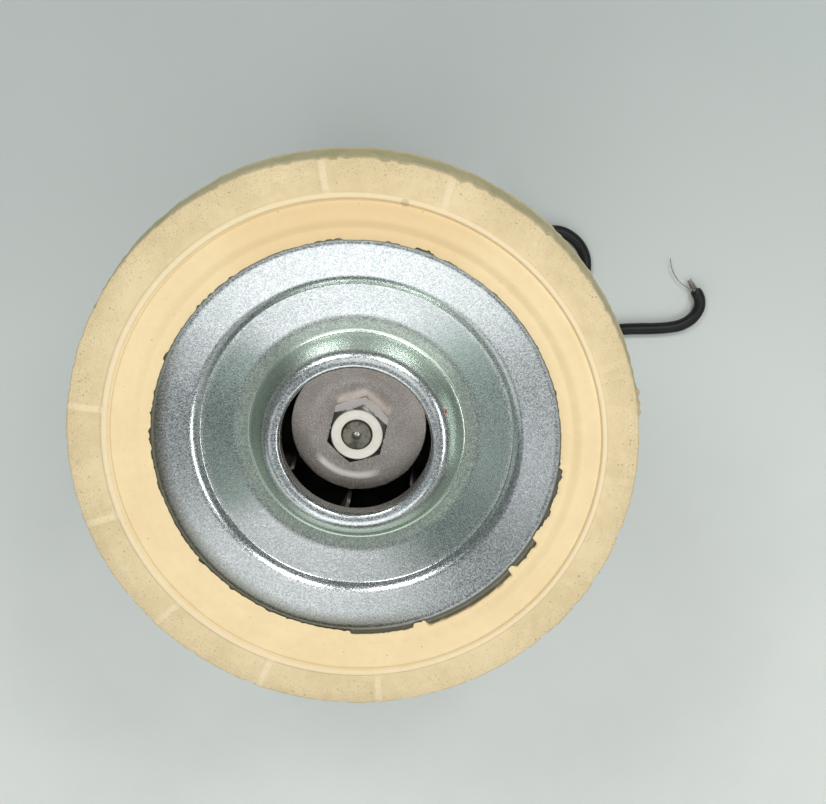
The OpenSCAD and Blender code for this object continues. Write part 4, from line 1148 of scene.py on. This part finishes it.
# Painted shade: the fan discs are near black, so the eye of the inlet reads as deep shade.
dress(metal_finish("fan_sheet_painted_shade", (0.010, 0.0095, 0.009), (0.030, 0.028, 0.026), 0.5, 90.0, 1500.0, 0.2),
      "fan_1_front", "fan_1_back", "fan_2_front", "fan_2_back")
dress(metal_finish("vane_sheet", (0.24, 0.23, 0.21), (0.46, 0.45, 0.42), 0.48, 120.0, 1500.0, 0.2),
      "fan_1_vanes", "fan_2_vanes")
dress(metal_finish("guide_sheet", (0.16, 0.16, 0.16), (0.34, 0.34, 0.34), 0.42, 80.0, 1800.0, 0.2),
      "return_upper_disc", "return_vanes", "return_lower_disc", "fan_hub", "middle_spacer", "lower_spacer")
dress(metal_finish("bracket_casting", (0.40, 0.41, 0.42), (0.62, 0.63, 0.64), 0.48, 60.0, 1100.0, 0.45),
      "fan_bracket", "rear_bracket")
dress(metal_finish("bearing_ring", (0.58, 0.59, 0.61), (0.76, 0.77, 0.79), 0.2, 120.0, 3000.0, 0.08, 0.25),
      "front_bearing_outer", "front_bearing_inner", "rear_bearing_outer", "rear_bearing_inner")
dress(metal_finish("bearing_ball", (0.62, 0.63, 0.65), (0.78, 0.79, 0.81), 0.16, 300.0, 4000.0, 0.03),
      "front_bearing_balls", "rear_bearing_balls")
dress(metal_finish("cage_brass", (0.48, 0.35, 0.14), (0.66, 0.50, 0.22), 0.35, 200.0, 2600.0, 0.15),
      "front_bearing_cage", "rear_bearing_cage")
dress(metal_finish("spring_wire", (0.30, 0.30, 0.31), (0.52, 0.52, 0.54), 0.3, 300.0, 3000.0, 0.12),
      "front_circlip", "coil_spring_right", "coil_spring_left")
dress(core_laminations(), "field_core", "armature_core")
dress(matt_finish("slot_paper", (0.54, 0.44, 0.26), (0.70, 0.61, 0.40), 0.7, 180.0, 2600.0, 0.3, 0.2,
                  (0.36, 0.26, 0.12)), "slot_liners")
dress(magnet_wire(), "wound_coil_far", "wound_coil_near", "armature_wires")
dress(matt_finish("holder_phenolic", (0.030, 0.017, 0.010), (0.075, 0.042, 0.024), 0.4, 240.0, 2200.0, 0.18, 0.25,
                  (0.16, 0.09, 0.05)), "brush_holder_left", "brush_holder_right", "commutator_hub")
dress(metal_finish("tube_brass", (0.55, 0.40, 0.16), (0.76, 0.58, 0.26), 0.32, 110.0, 2400.0, 0.15),
      "brush_tube_left", "brush_tube_right", "brush_cap_left", "brush_cap_right")
dress(metal_finish("bolt_plate", (0.50, 0.49, 0.45), (0.72, 0.71, 0.66), 0.3, 140.0, 2400.0, 0.15),
      "holder_screws", "through_bolts")
dress(braid_sleeving("jumper_braid", 60.0, 4.0), "braided_jumper_right", "braided_jumper_left")
dress(braid_sleeving("sleeve_braid", 9.0, 12.0), "braided_sleeves")
dress(lead_insulation(), "black_lead_a", "black_lead_b")
dress(tinned_strand(), "lead_a_strands", "lead_b_strands")
dress(commutator_copper(), "commutator_bars")
dress(matt_finish("brush_carbon", (0.018, 0.018, 0.019), (0.045, 0.045, 0.047), 0.5, 300.0, 3200.0, 0.25, 0.3,
                  (0.10, 0.10, 0.10)), "brush_left", "brush_right")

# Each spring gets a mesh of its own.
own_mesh(spring_right)
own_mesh(spring_left)


# Floor and light

FLOOR_W = 8000


def sheet_cloth():
    """Pale cloth with painted light, a little paler towards the front and darker towards the back, with a slow cloud
    in its tone.
    """
    material, place = new_finish("sheet_cloth", 0.0, 0.7)
    # Painted light: the cloth is paler towards the front and darker towards the back.
    front = place.part("Y").span(-0.17, 0.14, 1.0, 0.0)
    cloud = place.use(MOTTLE, 7.0)
    grain = place.noise(900.0)
    base = layered(front.tint((0.50, 0.545, 0.53), (0.84, 0.87, 0.83)), (cloud * 0.2, (0.62, 0.66, 0.645)))
    return paint(material, base, grain.spread(0.66, 0.78), grain, 0.05, 0.06)


def pale_floor():
    """A wide pale sheet that the object stands on."""
    side = np.linspace(-FLOOR_W / 2, FLOOR_W / 2, 9)
    x, y = np.meshgrid(side, side, indexing="ij")
    floor = piece("floor", patch(np.stack([x, y, 0 * x], axis=-1), (False, False), False))
    if floor.data.polygons[0].normal.z < 0:
        floor.data.flip_normals()
    dress(sheet_cloth(), "floor")


def soft_lamp(name, place, aim, size, power, colour):
    """A rectangular lamp, its place and size in millimetres, turned to a point."""
    light = bpy.data.lights.new(name, "AREA")
    light.shape = "RECTANGLE"
    light.size = size[0] * MM
    light.size_y = size[1] * MM
    light.energy = power
    light.color = colour
    lamp = bpy.data.objects.new(name, light)
    lamp.location = np.array(place) * MM
    ahead = np.array(aim, float) - np.array(place, float)
    flat = math.hypot(ahead[0], ahead[1])
    lamp.rotation_euler = (math.pi / 2 + math.atan2(ahead[2], flat), 0, math.atan2(-ahead[0], ahead[1]))
    scene.collection.objects.link(lamp)


def pale_world():
    """Even light from all round, a little dimmer and greener near the horizon."""
    world = bpy.data.worlds.new("room")
    scene.world = world
    world.use_nodes = True
    tree = world.node_tree
    rise = put(tree, "ShaderNodeTexCoord", output="Generated").part("Z").span(-0.1, 0.9)
    colour = rise.tint((0.16, 0.19, 0.17), (0.22, 0.235, 0.24))
    feed(tree, tree.nodes["Background"], {"Color": colour, "Strength": 1.0})


pale_floor()
pale_world()
for lamp in (
    ("overhead", (30, 45, 600), (0, 0, 130), (280, 240), 0.23, (1.0, 0.99, 0.97)),
    ("front_sheet", (-40, -585, 790), (0, 20, 140), (540, 440), 1.33, (1.0, 1.0, 1.0)),
    ("left_wash", (-345, -245, 850), (0, 0, 140), (130, 300), 0.12, (1.0, 1.0, 1.0)),
    ("right_high", (620, -140, 750), (0, 0, 140), (540, 110), 1.25, (1.0, 1.0, 1.0)),
    ("ceiling_right", (290, 460, 780), (0, 0, 140), (260, 200), 2.2, (1.0, 1.0, 0.99)),
    ("ceiling_left", (-260, 500, 780), (0, 0, 140), (260, 200), 2.0, (0.99, 1.0, 1.0)),
    ("right_front", (650, -850, 620), (0, 0, 100), (900, 500), 0.5, (1.0, 0.99, 0.97)),
    ("left_front", (-650, -800, 620), (0, 0, 100), (900, 500), 1.1, (0.98, 0.99, 1.0)),
):
    soft_lamp(*lamp)
